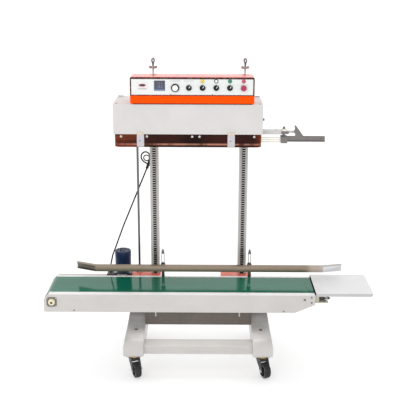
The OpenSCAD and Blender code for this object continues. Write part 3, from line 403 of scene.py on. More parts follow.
# a lighter copy of the navy enamel for the motor's lid and its rim: painted highlight
NAVY_HIGHLIGHT = painted(
    "navy_enamel_lid_highlight", (0.022, 0.032, 0.075), rough=0.36, wear=(0.2, 0.22, 0.3), coat=0.0, gloss=0.3)
BLACK_PAINT = painted("black_enamel", (0.012, 0.012, 0.014), rough=0.40, wear=(0.18, 0.17, 0.16), coat=0.0)
ZINC = metal("zinc_plated_steel", (0.52, 0.52, 0.52), 0.34)
BRIGHT = metal("bright_steel", (0.62, 0.62, 0.62), 0.24, (60, 60, 1))
GREY_STEEL = metal("grey_forged_steel", (0.20, 0.185, 0.18), 0.38, (30, 30, 30))
NUT_STEEL = metal("plated_wing_nut", (0.36, 0.32, 0.32), 0.36, (30, 30, 30))
BRACKET_STEEL = metal("ground_bracket_steel", (0.17, 0.172, 0.175), 0.30, (1, 1, 60))
# the rail's paler zones towards its right bend, its light bent end and its darker underside and left end are
# painted highlight and painted shade
STAINLESS = metal("stainless_rail", (0.315, 0.250, 0.190), 0.32, (1, 60, 60), 26, 0.30, 0.25,
                  highlight_zones=((0.455, 0.480, (0.50, 0.43, 0.37)), (0.505, 0.535, (0.54, 0.52, 0.51))))
STAINLESS_HIGHLIGHT = metal("stainless_rail_end_highlight", (0.68, 0.69, 0.70), 0.30, (1, 60, 60), 26, 0.15)
STAINLESS_SHADE = metal("stainless_rail_shade", (0.20, 0.18, 0.155), 0.34, (1, 60, 60), 26, 0.3)
STEEL_DARK = metal("dark_turned_steel", (0.155, 0.145, 0.135), 0.30, (60, 60, 1))
RACK = metal("oiled_rack_steel", (0.006, 0.005, 0.0045), 0.5, (30, 30, 30))
RACK_TIP = metal("rubbed_rack_tip", (0.56, 0.53, 0.51), 0.36, (30, 30, 30))
BRASS = metal("brass", (0.70, 0.47, 0.16), 0.30, (40, 40, 40))
CREAM_CAP = painted("cream_bearing_cap", (0.80, 0.72, 0.50), rough=0.28, wear=(0.55, 0.42, 0.2), coat=0.3)
BEARING_PLATE = painted("olive_bearing_plate", (0.16, 0.155, 0.125), rough=0.4, coat=0.0)
STRAP_PAD = painted("beige_strap_pad", (0.66, 0.57, 0.48), rough=0.35)
BEIGE = painted("beige_zinc_bracket", (0.42, 0.39, 0.31), rough=0.34, wear=(0.5, 0.5, 0.48), coat=0.1)
ALUMINIUM = metal("milled_aluminium", (0.72, 0.72, 0.73), 0.33, (90, 1, 1))
BLACK_PLASTIC = plastic("black_plastic", (0.008, 0.008, 0.010), 0.36, gloss=0.2)
WHITE_PLASTIC = plastic("white_plastic", (0.92, 0.92, 0.91), 0.25, 0.1)
CREAM_PLASTIC = plastic("cream_plastic", (0.80, 0.76, 0.66), 0.35)
GREY_PLASTIC = plastic("grey_wheel_rim", (0.42, 0.42, 0.43), 0.4)
RED_PLASTIC = plastic("red_plastic", (0.40, 0.040, 0.100), 0.34, gloss=0.25)
CLIP_WHITE = plastic("white_clip", (0.50, 0.48, 0.51), 0.3, 0.1)
CABLE_RUBBER = rubber("cable_rubber", (0.002, 0.002, 0.0025), 0.7, 0.0, 0.03)
TYRE = rubber("caster_tread", (0.022, 0.022, 0.026), 0.5, 0.12)
SILICONE = rubber("silicone_wheel", (0.30, 0.07, 0.03), 0.5, 0.05)
BELT = belt_material()
AMBER = amber_material()
BAND = woven_material()
SCREEN = screen_material()
LAMP_YELLOW = lamp_material("lamp_yellow", (0.72, 0.53, 0.05), 0.1)
LAMP_WHITE = lamp_material("lamp_white", (0.80, 0.80, 0.76))
LAMP_GREEN = lamp_material("lamp_green", (0.008, 0.19, 0.09), 0.1)
LAMP_RED = lamp_material("lamp_red", (0.48, 0.05, 0.10), 0.1)
GREEN_RING = plastic("dark_green_ring", (0.006, 0.045, 0.025), 0.35)
DISPLAY_CASE = plastic("display_case", (0.060, 0.066, 0.10), 0.35)
LABEL_PINK = painted("label_pink", (0.82, 0.72, 0.75), rough=0.4)
INK = painted("panel_ink", (0.10, 0.10, 0.11), rough=0.5, coat=0.0, peel=0.03)
INK_RED = painted("panel_ink_red", (0.12, 0.012, 0.05), rough=0.5, coat=0.0, peel=0.03)


def stand_material():
    """The stand's paint, a copy of the grey paint toned for how it is lit, darkened towards the top under the
    conveyor by painted shade.
    """
    color = (0.585, 0.56, 0.545)
    s = Shader("stand_paint", color, 0.38, coat_weight=0.12, coat_roughness=0.12)
    base = s.tones(s.noise(9, 4), color, 0.95, 1.03)
    base = s.corner_darkened(base, 0.3, shade(color, 0.6))
    # painted shade: darker towards the top, where the conveyor shades the stand
    painted_shade_band = s.spread(s.along("Z"), 0, 1, 0.185, 0.265)
    patchy_shade = s.math("MULTIPLY", painted_shade_band, s.spread(s.noise(18, 4), 0.90, 1.0, 0.3, 0.6))
    s.color(s.mix(patchy_shade, base, (0.080, 0.067, 0.070)))
    s.rough(s.spread(s.noise(35, 3), 0.32, 0.46))
    s.peel(0.10)
    return s.material


STAND_PAINT = stand_material()


# ------------------------------------------------------------------ mesh helpers

SMOOTH_BELOW = 35
BEVEL_ABOVE = 32
BODY_OF = {n: body for body, nodes in frame["record"]["behaviour"]["bodies"].items() for n in nodes}


def new_object(name, mesh, materials):
    piece = bpy.data.objects.new(name, mesh)
    bpy.context.collection.objects.link(piece)
    for material in materials:
        mesh.materials.append(material)
    mesh.shade_smooth()
    mesh.set_sharp_from_angle(angle=math.radians(SMOOTH_BELOW))
    return piece


def ride(piece, node, replace=False):
    """The piece rides on the node's body, and may stand for it."""
    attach(piece, BODY_OF[node])
    if replace:
        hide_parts(node)
    return piece


def soften(bm, width, segments):
    """Bevels the sharp edges, so each corner catches the light."""
    bmesh.ops.remove_doubles(bm, verts=bm.verts, dist=0.00001)
    bmesh.ops.dissolve_limit(bm, angle_limit=math.radians(1.0), verts=bm.verts, edges=bm.edges)
    sharp = [e for e in bm.edges if e.is_manifold and e.calc_face_angle(0) > math.radians(BEVEL_ABOVE)]
    if width and sharp:
        bmesh.ops.bevel(
            bm, geom=sharp, offset=width, offset_type="OFFSET", segments=segments, profile=0.6,
            affect="EDGES", clamp_overlap=True,
        )


def dress(node, materials, bevel, rule=None, segments=2):
    """Stands a softened copy of a CAD node in its place. rule(centre, normal) picks a face's material."""
    source = frame["nodes"][node]
    bm = bmesh.new()
    bm.from_mesh(source.data)
    soften(bm, bevel * MM, segments)
    if rule:
        for face in bm.faces:
            face.material_index = rule(face.calc_center_median() / MM, face.normal)
    mesh = bpy.data.meshes.new(node + "_skin")
    bm.to_mesh(mesh)
    bm.free()
    piece = new_object(node + "_skin", mesh, materials)
    return ride(piece, node, True)


def axis_matrix(at, axis, turn=0.0):
    """A frame at a point in millimetres whose Z lies along axis."""
    rotation = Z_AXIS.rotation_difference(Vector(axis).normalized()).to_matrix().to_4x4()
    return Matrix.Translation(vec(*at)) @ rotation @ spin(turn, "Z")


def skin(bm, loops, material=0, closed=True):
    """Joins loops of vertices into a skin, with a face over each end if closed."""
    count = len(loops[0])
    for a, b in zip(loops, loops[1:]):
        for k in range(count):
            n = (k + 1) % count
            bm.faces.new((a[k], a[n], b[n], b[k])).material_index = material
    if closed:
        bm.faces.new(loops[0][::-1]).material_index = material
        bm.faces.new(loops[-1]).material_index = material


def add_rings(bm, matrix, rings, count=32, closed=True, material=0):
    """A skin over rings of (height, radius) in mm, each radius a number or a function of the angle."""
    loops = []
    for height, radius in rings:
        loop = []
        for k in range(count):
            a = 2 * math.pi * k / count
            r = radius(a) if callable(radius) else radius
            loop.append(bm.verts.new(matrix @ vec(r * math.cos(a), r * math.sin(a), height)))
        loops.append(loop)
    skin(bm, loops, material, closed)


def add_turned(bm, at, axis, rings, count=32, material=0, closed=True):
    """The same, along an axis from a point in mm."""
    add_rings(bm, axis_matrix(at, axis), rings, count, closed, material)


def add_plate(bm, outline, y0, y1, matrix=Matrix(), material=0):
    """An outline of (x, z) in mm, given a thickness from y0 to y1."""
    skin(bm, [[bm.verts.new(matrix @ vec(x, y, z)) for x, z in outline] for y in (y0, y1)], material)


def hexagon(across):
    """Radius of a hexagon of that width across flats, as a function of the angle."""
    return lambda a: across / 2 / math.cos((a % (math.pi / 3)) - math.pi / 6)


def cross_recess(outer, arm):
    """Radius of a four-armed driver recess."""
    def radius(a):
        near = abs((a + math.pi / 4) % (math.pi / 2) - math.pi / 4)
        return outer if near < 0.28 else arm
    return radius


def add_socket_screw(bm, at, axis, r, h, material=0, turn=0.0):
    """Cap screw with a hexagon socket."""
    bevel = min(0.5, r * 0.12)
    hexa = hexagon(r * 1.1)
    add_rings(bm, axis_matrix(at, axis, turn), [
        (0, r), (h - bevel, r), (h, r - bevel), (h, r * 0.70), (h - 0.2, hexa), (h * 0.45, hexa),
        (h * 0.35, 0.05 * r),
    ], 24, True, material)


def add_pan_screw(bm, at, axis, r, h, material=0, turn=0.0):
    """Pan-head screw with a cross recess."""
    recess = cross_recess(r * 0.52, r * 0.16)
    add_rings(bm, axis_matrix(at, axis, turn), [
        (0, r), (h * 0.35, r), (h * 0.75, r * 0.85), (h, r * 0.58), (h, recess), (h * 0.4, recess),
        (h * 0.3, 0.02 * r),
    ], 32, True, material)


def add_hex_bolt(bm, at, axis, across, h, material=0, washer=0.0, turn=0.0):
    """Hexagon head or nut, on a washer if asked."""
    matrix = axis_matrix(at, axis, turn)
    start = 0.0
    if washer:
        start = 1.0
        add_rings(bm, matrix, [(0, washer), (0.8, washer), (1.0, washer - 0.3)], 32, True, material)
    hexa = hexagon(across)
    chamfer = lambda a: min(hexa(a), across * 0.54)
    add_rings(bm, matrix, [
        (start, hexa), (start + h * 0.8, hexa), (start + h, chamfer), (start + h, across * 0.36),
    ], 36, True, material)


def add_thread(bm, at, axis, r, length, pitch=1.25, material=0):
    """A threaded rod as close-set ridges."""
    rings = [(0, r * 0.85)]
    turns = int(length / pitch)
    for i in range(turns):
        z = i * pitch
        rings += [(z + pitch * 0.25, r * 0.86), (z + pitch * 0.6, r), (z + pitch * 0.75, r)]
    rings.append((length, r * 0.85))
    add_turned(bm, at, axis, rings, 20, material)


def add_block(bm, a, b, bevel=0.6, material=0, matrix=None):
    """A box between two corners in mm, with softened edges."""
    made = bmesh.ops.create_cube(bm, size=1.0)["verts"]
    lo = Vector(a) * MM
    hi = Vector(b) * MM
    for vert in made:
        vert.co = Vector([lo[i] + (vert.co[i] + 0.5) * (hi[i] - lo[i]) for i in range(3)])
        if matrix is not None:
            vert.co = matrix @ vert.co
    faces = {f for v in made for f in v.link_faces}
    for face in faces:
        face.material_index = material
    if bevel:
        edges = list({e for f in faces for e in f.edges})
        result = bmesh.ops.bevel(
            bm, geom=edges, offset=bevel * MM, segments=2, profile=0.6, affect="EDGES", clamp_overlap=True)
        for face in result["faces"]:
            face.material_index = material


def add_tube(bm, points, r, sides=10, material=0):
    """A round tube along points in mm."""
    path = [vec(*p) for p in points]
    loops = []
    side = None
    for i, p in enumerate(path):
        ahead = (path[min(i + 1, len(path) - 1)] - path[max(i - 1, 0)]).normalized()
        if side is None:
            side = ahead.orthogonal().normalized()
        side = (side - ahead * side.dot(ahead)).normalized()
        other = ahead.cross(side)
        angles = [2 * math.pi * k / sides for k in range(sides)]
        loops.append([bm.verts.new(p + (side * math.cos(a) + other * math.sin(a)) * r * MM) for a in angles])
    skin(bm, loops, material)


def add_torus(bm, at, axis, big, small, material=0, n=40, m=12, stretch=1.0):
    """A ring; stretch lengthens it along its axis."""
    matrix = axis_matrix(at, axis)
    loops = []
    for i in range(n):
        a = 2 * math.pi * i / n
        loop = []
        for j in range(m):
            b = 2 * math.pi * j / m
            out = big + small * math.cos(b)
            point = vec(out * math.cos(a), out * math.sin(a), small * stretch * math.sin(b))
            loop.append(bm.verts.new(matrix @ point))
        loops.append(loop)
    skin(bm, [*loops, loops[0]], material, False)


def build(name, materials, node, fill, replace=False):
    """Makes a piece from a function that fills a bmesh, and rides it on the node's body."""
    bm = bmesh.new()
    fill(bm)
    bmesh.ops.recalc_face_normals(bm, faces=bm.faces)
    mesh = bpy.data.meshes.new(name)
    bm.to_mesh(mesh)
    bm.free()
    return ride(new_object(name, mesh, materials), node, replace)


# ------------------------------------------------------------------ motor cable

CABLE_D = 5
CABLE_ROUTE = [
    (-468, -20, 474), (-468, -20.5, 487.3), (-466.8, -22.6, 500.4), (-465.1, -24.4, 513.5),
    (-455.8, -28.1, 557.6), (-440, -27, 600), (-424.3, -21.6, 642.2), (-409, -15.2, 684.3),
    (-392.3, -8.6, 726), (-375, -1.7, 767.3), (-357.8, 5.5, 808.6), (-340.7, 12.2, 850),
    (-323.6, 17.6, 891.6), (-306.3, 22.1, 933.2), (-289.2, 25.4, 975.1), (-285.9, 25.9, 983.8),
    (-282.7, 26.3, 992.6), (-279.6, 26.8, 1001.5), (-276.7, 27.4, 1010.4), (-274.6, 28, 1019.5),
    (-274.1, 28.6, 1028.9), (-276.3, 29.3, 1037.9), (-281.3, 30, 1045.8), (-289.2, 30.9, 1050.6),
    (-298.4, 32, 1051.1), (-306.8, 33, 1047.2), (-312.8, 34.2, 1040.2), (-316, 35.6, 1031.5),
    (-316.1, 37, 1022.3), (-313.1, 38.5, 1013.5), (-308.1, 40.3, 1005.9), (-301.3, 42.1, 999.6),
    (-293.5, 43.3, 994.5), (-285.4, 43.1, 989.9), (-277.5, 41, 985.3), (-270.6, 37, 980.5),
    (-265.2, 31.2, 975.4), (-263, 23, 972),
]


def make_cable():
    points = [vec(*p) for p in CABLE_ROUTE]
    curve = bpy.data.curves.new("motor_cable_line", "CURVE")
    curve.dimensions = "3D"
    curve.bevel_depth = CABLE_D / 2 * MM
    curve.bevel_resolution = 4
    curve.use_fill_caps = True
    spline = curve.splines.new("POLY")
    spline.points.add(len(points) - 1)
    for target, p in zip(spline.points, points):
        target.co = (*p, 1)
    curve.materials.append(CABLE_RUBBER)
    cable = bpy.data.objects.new("motor_cable_line", curve)
    bpy.context.collection.objects.link(cable)
    ride(cable, "motor_cable", True)


make_cable()


# ------------------------------------------------------------------ stand

def fill_foot_caps(bm):
    """Bolt caps on the tops of the feet, in the taupe that paints the shade under the conveyor."""
    cap = [(0, 8.5), (1.6, 8.5), (2.4, 7.8), (2.6, 6.0), (1.6, 5.6), (1.6, 0.5)]
    for x in (low("crossbeams").x - 43, high("crossbeams").x + 43):
        add_turned(bm, (x, -72, 193), Z_AXIS, cap, 32, 2)


def make_stand():
    dress("legs", [STAND_PAINT], 2.5, segments=3)
    # the upper cross-beam, above z 190, takes the taupe painted shade
    dress("crossbeams", [PAINT, SHADE_TAUPE], 0.6, lambda c, n: int(c.z > 190))
    dress("posts", [PAINT], 0.6)
    tip = low("post_racks").y
    dress("post_racks", [RACK, RACK_TIP], 0.2, lambda c, n: int(c.y < tip + 1.5 and n.y < -0.9), segments=1)
    def tabs(bm):
        for x in (-254, 154):
            add_block(bm, (x - 3, -22.2, 240), (x + 3, -20.6, 262), 0.5, 0)
    build("beam_tabs", [PAINT_LIT], "crossbeams", tabs)


def fill_eye_stud(bm, x):
    top = low("eye_studs").z
    nut = top + 42
    add_block(bm, (x - 20, -20, top), (x + 20, 20, top + 5), 1.2, 1)
    add_turned(bm, (x, 0, top + 5), Z_AXIS, [(0, 8), (0.5, 8.4), (3, 8.4), (3.5, 8), (3.5, 4.2)], 28, 2)
    add_thread(bm, (x, 0, top + 8.5), Z_AXIS, 4, 34.5, 1.25, 2)
    add_thread(bm, (x, 0, top + 43), Z_AXIS, 4, 24, 1.25, 0)
    # wing nut: a boss and two swept wings
    add_turned(bm, (x, 0, nut), Z_AXIS, [(0, 8), (1, 8.4), (7, 7.4), (10, 6.4), (10, 4.2)], 28, 3)
    for side in (-1, 1):
        wing = [(5.5, 0.6), (11, 0.4), (16.5, 1.5), (18, 5), (18, 10.5), (15, 12.4), (10, 11.4), (5, 8.8)]
        add_plate(bm, [(x + side * px, nut + pz) for px, pz in wing], -1.8, 1.8, material=3)
    # forged eye on its collar
    add_turned(bm, (x, 0, top + 64), Z_AXIS, [(0, 5.6), (1.5, 6.2), (3.5, 4.6), (5, 3.6)], 24)
    turn = math.radians(55 if x < -46 else -55)
    add_torus(bm, (x, 0, top + 78), Vector((-math.sin(turn), math.cos(turn), 0)), 8.6, 3.3)


def make_eye_studs():
    def fill(bm):
        for x in (low("posts").x + 20, high("posts").x - 20):
            fill_eye_stud(bm, x)
    build("eye_studs_forged", [GREY_STEEL, PAINT, BRIGHT, NUT_STEEL], "eye_studs", fill, True)


# ------------------------------------------------------------------ casters

CASTER_TRAIL = 33
WHEEL_R = 37.5
CASTERS = {"fl": (-352, -152, 23), "fr": (260, -152, 23), "rl": (-345, 252, -23), "rr": (253, 252, 23)}


def caster_frame(corner):
    x, y, turn = CASTERS[corner]
    return shift(x, y, 0) @ spin(turn, "Z")


def fill_plates(bm):
    for x, y, _ in CASTERS.values():
        add_block(bm, (x - 38, y - 30, 104), (x + 38, y + 30, 108), 0.8)
        for sx in (-1, 1):
            for sy in (-1, 1):
                add_hex_bolt(bm, (x + sx * 30, y + sy * 22, 104), -Z_AXIS, 10, 4, 0, 7)
        # ball race, brass-coloured passivated ring with a pressed groove
        race = [(0, 19), (0, 23.5), (1.5, 25), (4, 25), (5, 23.8), (6, 25), (8, 24.5), (9, 23)]
        add_turned(bm, (x, y, 95), Z_AXIS, race, 48, 1)


def fill_fork(bm, corner):
    m = caster_frame(corner)
    add_block(bm, (-22, -24, 90), (22, 24, 94), 1.5, 0, m)
    add_block(bm, (-20, -24, 78), (20, -21, 92), 1.0, 0, m)
    add_rings(bm, m @ shift(0, 0, 84.5), [(0, 5), (0.6, 6), (4, 6.3), (5.5, 6.3)], 24, True, 1)
    cheek = [
        (-23, 92), (22, 92), (20.5, 79), (6, 62), (-14, 45), (-23, 32.5), (-33, 27), (-42, 32), (-44, 42),
        (-40, 54), (-29, 78),
    ]
    sideways = m @ spin(90, "Z")
    hexa = hexagon(13)
    for side in (-1, 1):
        add_plate(bm, cheek, side * 20.5 - 1.5, side * 20.5 + 1.5, sideways)
        axle = m @ shift(side * 22, -CASTER_TRAIL, WHEEL_R) @ spin(90 * side, "Y")
        nut = [(0, 8.5), (0.9, 8.5), (0.9, hexa), (4, hexa), (4.8, 6.2), (4.8, 3.2), (5, 2.8)]
        add_rings(bm, axle, nut, 36, True, 1)


def fill_wheel(bm, corner):
    m = caster_frame(corner) @ shift(0, -CASTER_TRAIL, WHEEL_R) @ spin(90, "Y")
    # tread with three grooves
    tread = [(-16, 30.5), (-15.2, 33), (-12.5, 36.6)]
    for groove in (-7, 0, 7):
        tread += [(groove - 1.6, 37.5), (groove - 1.0, 36.0), (groove + 1.0, 36.0), (groove + 1.6, 37.5)]
    tread += [(12.5, 36.6), (15.2, 33), (16, 30.5)]
    add_rings(bm, m, tread, 64, False, 0)
    # light rim, and a dished side with its hub and ten ribs
    for side in (-1, 1):
        flip = m @ spin(180 if side < 0 else 0, "X")
        add_rings(bm, flip, [(16, 30.5), (16.2, 29.6), (15, 28.6)], 64, False, 1)
        dish = [(15, 28.6), (10, 27), (8.5, 24), (8.5, 17), (11, 14.5), (15, 13.5), (15.6, 12), (15.6, 5.2)]
        add_rings(bm, flip, dish, 64, False, 2)
        for k in range(10):
            add_block(bm, (14, -1.2, 8), (27, 1.2, 11.5), 0.4, 2, flip @ spin(36 * k, "Z"))


def make_casters():
    build("caster_mounting_plates", [ZINC, BRASS], "caster_plates", fill_plates, True)
    wheel_materials = [TYRE, GREY_PLASTIC, BLACK_PLASTIC]
    for corner in CASTERS:
        build("caster_fork_pressed_" + corner, [BLACK_PAINT, BRIGHT], "caster_fork_" + corner,
              lambda bm: fill_fork(bm, corner), True)
        build("caster_wheel_moulded_" + corner, wheel_materials, "caster_wheel_" + corner,
              lambda bm: fill_wheel(bm, corner), True)


# ------------------------------------------------------------------ conveyor

ROLLER_Z = 434.7
DRIVE_X = -704
TAIL_X = 441
PANEL_FRONT = -295
PANEL_REAR = -66


def fill_frame_fasteners(bm):
    """Screws and bolts of the conveyor's panels, what holds the motor cable, and the feet's caps."""
    face = PANEL_FRONT
    for x in (-605, 340):
        add_pan_screw(bm, (x, face, 394), FRONT, 3.4, 2.4, 0, 20)
    for x, z in ((463, 461), (464, 436)):
        add_hex_bolt(bm, (x, face, z), FRONT, 5.5, 3.0, 0, 3.9, 12)
    add_hex_bolt(bm, (433, face, 450), FRONT, 7, 4.0, 0, 4.9)
    for x in (-600, -300, 0, 300):
        add_hex_bolt(bm, (x, PANEL_REAR, 398), Y_AXIS, 8, 3.0, 0, 5.5, 10)
    fill_cable_dressing(bm)
    fill_foot_caps(bm)


def fill_cable_dressing(bm):
    """Sleeves, ties and grommet of the motor cable, and its spare loop's second turn."""
    # grommet in the back of the post
    end = CABLE_ROUTE[-1]
    add_turned(bm, (end[0], 20, end[2]), Y_AXIS, [(0, 7.5), (1.2, 7.5), (2.6, 6.4), (3, 5)], 28, 1)
    # shrink sleeve and ties where the cable starts its loop
    add_tube(bm, CABLE_ROUTE[14:20], 6.4, 14, 1)
    # braided sleeve on the cable, and the second turn
    add_tube(bm, CABLE_ROUTE[3:15], 3.3, 12, 3)
    add_tube(bm, CABLE_ROUTE[19:34], 3.3, 12, 3)
    add_torus(bm, (-291, 37.5, 1021), (0.12, 1, 0.05), 13.5, 2.6, 3, 40, 10)
    for i in (14, 16, 19):
        a = Vector(CABLE_ROUTE[i])
        add_torus(bm, a, Vector(CABLE_ROUTE[i + 1]) - a, 6.2, 0.9, 1, 24, 8, 2.2)


def fill_bearings(bm):
    at = (DRIVE_X, PANEL_FRONT, ROLLER_Z)
    squircle = lambda a: 23 / (abs(math.cos(a)) ** 5 + abs(math.sin(a)) ** 5) ** 0.2
    rim = lambda a: squircle(a) - 0.5
    add_turned(bm, at, FRONT, [(0, squircle), (1.6, squircle), (2, rim), (2, 14)], 96, 1)
    cap = [(2, 15.5), (4, 15.5), (5, 14.8), (8.5, 14.2), (10.6, 12.6), (11.5, 10.4), (11.9, 5.8)]
    add_turned(bm, at, FRONT, cap, 56, 0, False)
    add_turned(bm, at, FRONT, [(11.9, 5.8), (9.8, 5.0), (9.8, 2.6), (11.4, 2.2), (11.6, 0.3)], 56, 3, False)
    for sx in (-1, 1):
        for sz in (-1, 1):
            corner = (DRIVE_X + sx * 18.5, PANEL_FRONT - 2, ROLLER_Z + sz * 18.2)
            add_socket_screw(bm, corner, FRONT, 2.6, 2.2, 2)
    housing = [(0, 19), (3, 19), (3.6, 16), (10.4, 15.4), (11, 14.4), (11, 8.2)]
    for y in (PANEL_FRONT + 2, PANEL_REAR):
        add_turned(bm, (DRIVE_X, y, ROLLER_Z), Y_AXIS, housing, 48, 2)


def fill_tension(bm):
    screw = 455.5
    for y0, y1 in ((-293, -279), (-79, -68)):
        mid = (y0 + y1) / 2
        add_block(bm, (TAIL_X - 18, y0, ROLLER_Z - 15), (TAIL_X + 14, y1, 463), 0.8, 1)
        # folded bracket: foot, lip and end tab
        add_block(bm, (480.5, y0, 434), (538, y1, 440), 0.8, 0)
        add_block(bm, (480.5, y0, 438), (497, y1, 465.8), 0.8, 0)
        add_block(bm, (528, y0, 438), (534, y1, 462.5), 0.6, 0)
        add_thread(bm, (TAIL_X + 14, mid, screw), X_AXIS, 4, 546 - TAIL_X - 14, 1.5, 2)
        knurl = lambda a: 7.6 + 0.2 * math.cos(24 * a)
        sleeve = [(0, 5.5), (1, knurl), (24, knurl), (25, 5.5), (25, 4.2)]
        add_turned(bm, (498, mid, screw), X_AXIS, sleeve, 96, 2)
        add_hex_bolt(bm, (534.5, mid, screw), X_AXIS, 12, 6, 2)
        for x in (488.5, 512):
            add_pan_screw(bm, (x, mid - 2, 461.8), Z_AXIS, 3.4, 4.0, 3, 20)
        add_block(bm, (497, mid - 5, 463.2), (520, mid + 5, 465.8), 0.4, 0)
        # return spring on its own pin under the screw
        add_thread(bm, (497, mid, 445), X_AXIS, 3.2, 31, 2.6, 3)


def fill_conveyor_trim(bm):
    """A black lip at the infeed table that paints the shadow in the gap between belt and table, and a strip
    in the belt's PVC over the tail roller's curve.
    """
    lo = low("conveyor_belt")
    hi = high("conveyor_belt")
    add_block(bm, (hi.x + 1.5, lo.y - 20, hi.z - 4.6), (hi.x + 4.6, hi.y + 6, hi.z + 0.4), 0.4, 0)
    wedge = [(449, 470.45), (449, 470.95), (478.4, 470.95), (478.4, 462.8), (465, 462.8), (457, 467.9)]
    add_plate(bm, wedge, lo.y, hi.y, material=1)


def fill_belt(bm):
    """The belt loop, its edges bevelled and its inside dark."""
    outer = 36.3
    inner = 34.3
    edge = 0.5
    y0 = low("conveyor_belt").y
    y1 = high("conveyor_belt").y
    def loop(r):
        points = []
        for cx, start in ((TAIL_X, -90), (DRIVE_X, 90)):
            for k in range(25):
                a = math.radians(start + 180 * k / 24)
                points.append((cx + r * math.cos(a), ROLLER_Z + r * math.sin(a)))
        return points
    rows = [
        (y0, outer - edge), (y0 + edge, outer), (y1 - edge, outer), (y1, outer - edge),
        (y1, inner), (y0, inner),
    ]
    loops = [[bm.verts.new(vec(x, y, z)) for x, z in loop(r)] for y, r in rows]
    count = len(loops[0])
    for i in range(len(loops)):
        a = loops[i]
        b = loops[(i + 1) % len(loops)]
        for k in range(count):
            n = (k + 1) % count
            bm.faces.new((a[k], a[n], b[n], b[k])).material_index = 1 if i in (3, 4, 5) else 0


def make_conveyor():
    top = high("front_panel").z
    for node in ("front_panel", "rear_panel"):
        # top faces of the flanges take the lighter copy, a painted highlight
        dress(node, [PAINT, FLANGE_HIGHLIGHT], 0.7, lambda c, n: int(n.z > 0.9 and c.z > top - 4))
    # the table's end towards the belt is black, painted shadow in the gap, and its front edge takes the
    # darker copy, painted shade
    dress("infeed_table", [TABLE_WHITE, CABLE_RUBBER, TABLE_EDGE_SHADE], 1.2,
          lambda c, n: 1 if n.x < -0.7 else 2 if n.y < -0.6 else 0, segments=3)
    dress("belt_bed", [ZINC], 0.4)
    build("conveyor_shadow_lip", [CABLE_RUBBER, BELT], "belt_bed", fill_conveyor_trim)
    build("conveyor_belt_loop", [BELT, CABLE_RUBBER], "conveyor_belt", fill_belt, True)
    build("roller_bearing_caps", [CREAM_CAP, BEARING_PLATE, ZINC, STEEL_DARK], "roller_bearings",
          fill_bearings, True)
    build("belt_tensioners", [BEIGE, ZINC, BLACK_PAINT, GREY_STEEL], "tension_units", fill_tension, True)
    build("frame_screw_heads", [GREY_STEEL, BLACK_PLASTIC, SHADE_TAUPE, CABLE_RUBBER], "frame_fasteners",
          fill_frame_fasteners, True)
    for node in ("drive_roller", "tail_roller"):
        dress(node, [BRIGHT, STEEL_DARK], 0.5, lambda c, n: int(c.y > -60))


# ------------------------------------------------------------------ drive

CHAIN_PITCH = 12.7
SPROCKET_R = 26.53
STRAIGHT_LINKS = 23.5
BEND_LINKS = 6.5
GEAR_X = DRIVE_X + STRAIGHT_LINKS * CHAIN_PITCH
MOTOR_Z = 474


def chain_point(s):
    """Point on the chain's pitch line, s links from the start of the top run."""
    s = s % (2 * (STRAIGHT_LINKS + BEND_LINKS))
    if s < STRAIGHT_LINKS:
        return DRIVE_X + s * CHAIN_PITCH, ROLLER_Z + SPROCKET_R
    s -= STRAIGHT_LINKS
    if s < BEND_LINKS:
        a = math.pi * s / BEND_LINKS
        return GEAR_X + SPROCKET_R * math.sin(a), ROLLER_Z + SPROCKET_R * math.cos(a)
    s -= BEND_LINKS
    if s < STRAIGHT_LINKS:
        return GEAR_X - s * CHAIN_PITCH, ROLLER_Z - SPROCKET_R
    a = math.pi * (s - STRAIGHT_LINKS) / BEND_LINKS
    return DRIVE_X - SPROCKET_R * math.sin(a), ROLLER_Z - SPROCKET_R * math.cos(a)


def fill_chain(bm):
    # one side plate: two round ends joined by a waist
    outline = []
    for side in (1, -1):
        for k in range(10):
            a = side * math.pi / 2 - math.pi * k / 9
            outline.append((side * CHAIN_PITCH / 2 + 3.6 * math.cos(a), 3.6 * math.sin(a)))
        outline.append((0, -2.7 * side))
    # rollers on the straight runs only
    roller_links = {*range(2, 22), *range(32, 52)}
    for i in range(60):
        xa, za = chain_point(i)
        xb, zb = chain_point(i + 1)
        heading = math.atan2(zb - za, xb - xa)
        # every other link's plates sit outside their neighbours'
        offset = 0.0 if i % 2 else 0.825
        m = shift((xa + xb) / 2, 0, (za + zb) / 2) @ Matrix.Rotation(-heading, 4, "Y")
        for y in (offset - 52.5, -40.5 - offset):
            add_plate(bm, outline, y - 0.4, y + 0.4, m)
        if i in roller_links:
            add_turned(bm, (xa, -50.6, za), Y_AXIS, [(0, 2.0), (0.4, 3.9), (7.8, 3.9), (8.2, 2.0)], 14)


def fill_motor(bm):
    x = middle("motor").x
    y = middle("motor").y
    m = shift(x, y, MOTOR_Z)
    # flange, body, seam beads and fan cowl; its lid and the rim round it take a lighter copy of the enamel, a
    # painted highlight
    add_rings(bm, m, [
        (0, 38.2), (5, 38.4), (6.5, 37.6), (8, 37.9), (70, 37.9), (71, 38.2), (73, 38.3), (95.5, 38.3),
        (97.6, 37.6), (98.4, 36.2)], 72, False)
    add_rings(bm, m, [(98.4, 36.2), (99.8, 35.6), (100.2, 34.2), (99.8, 32.8), (98.4, 32.2)], 72, False, 3)
    add_rings(bm, m, [(98.4, 32.2), (98.0, 20), (98.2, 12), (98.4, 0.5)], 72, True, 3)
    for k in range(4):
        a = math.pi / 4 + k * math.pi / 2
        add_pan_screw(bm, (x + 24 * math.cos(a), y + 24 * math.sin(a), MOTOR_Z + 101.2), Z_AXIS, 2.2, 1.6, 1)
    for k in range(12):
        add_block(bm, (10, -1.0, 101.2), (17, 1.0, 101.9), 0.2, 2, m @ spin(30 * k, "Z"))
    # blank plate at the back
    add_block(bm, (x - 14, y + 36.6, 500), (x + 14, y + 38.3, 524), 0.5, 1)


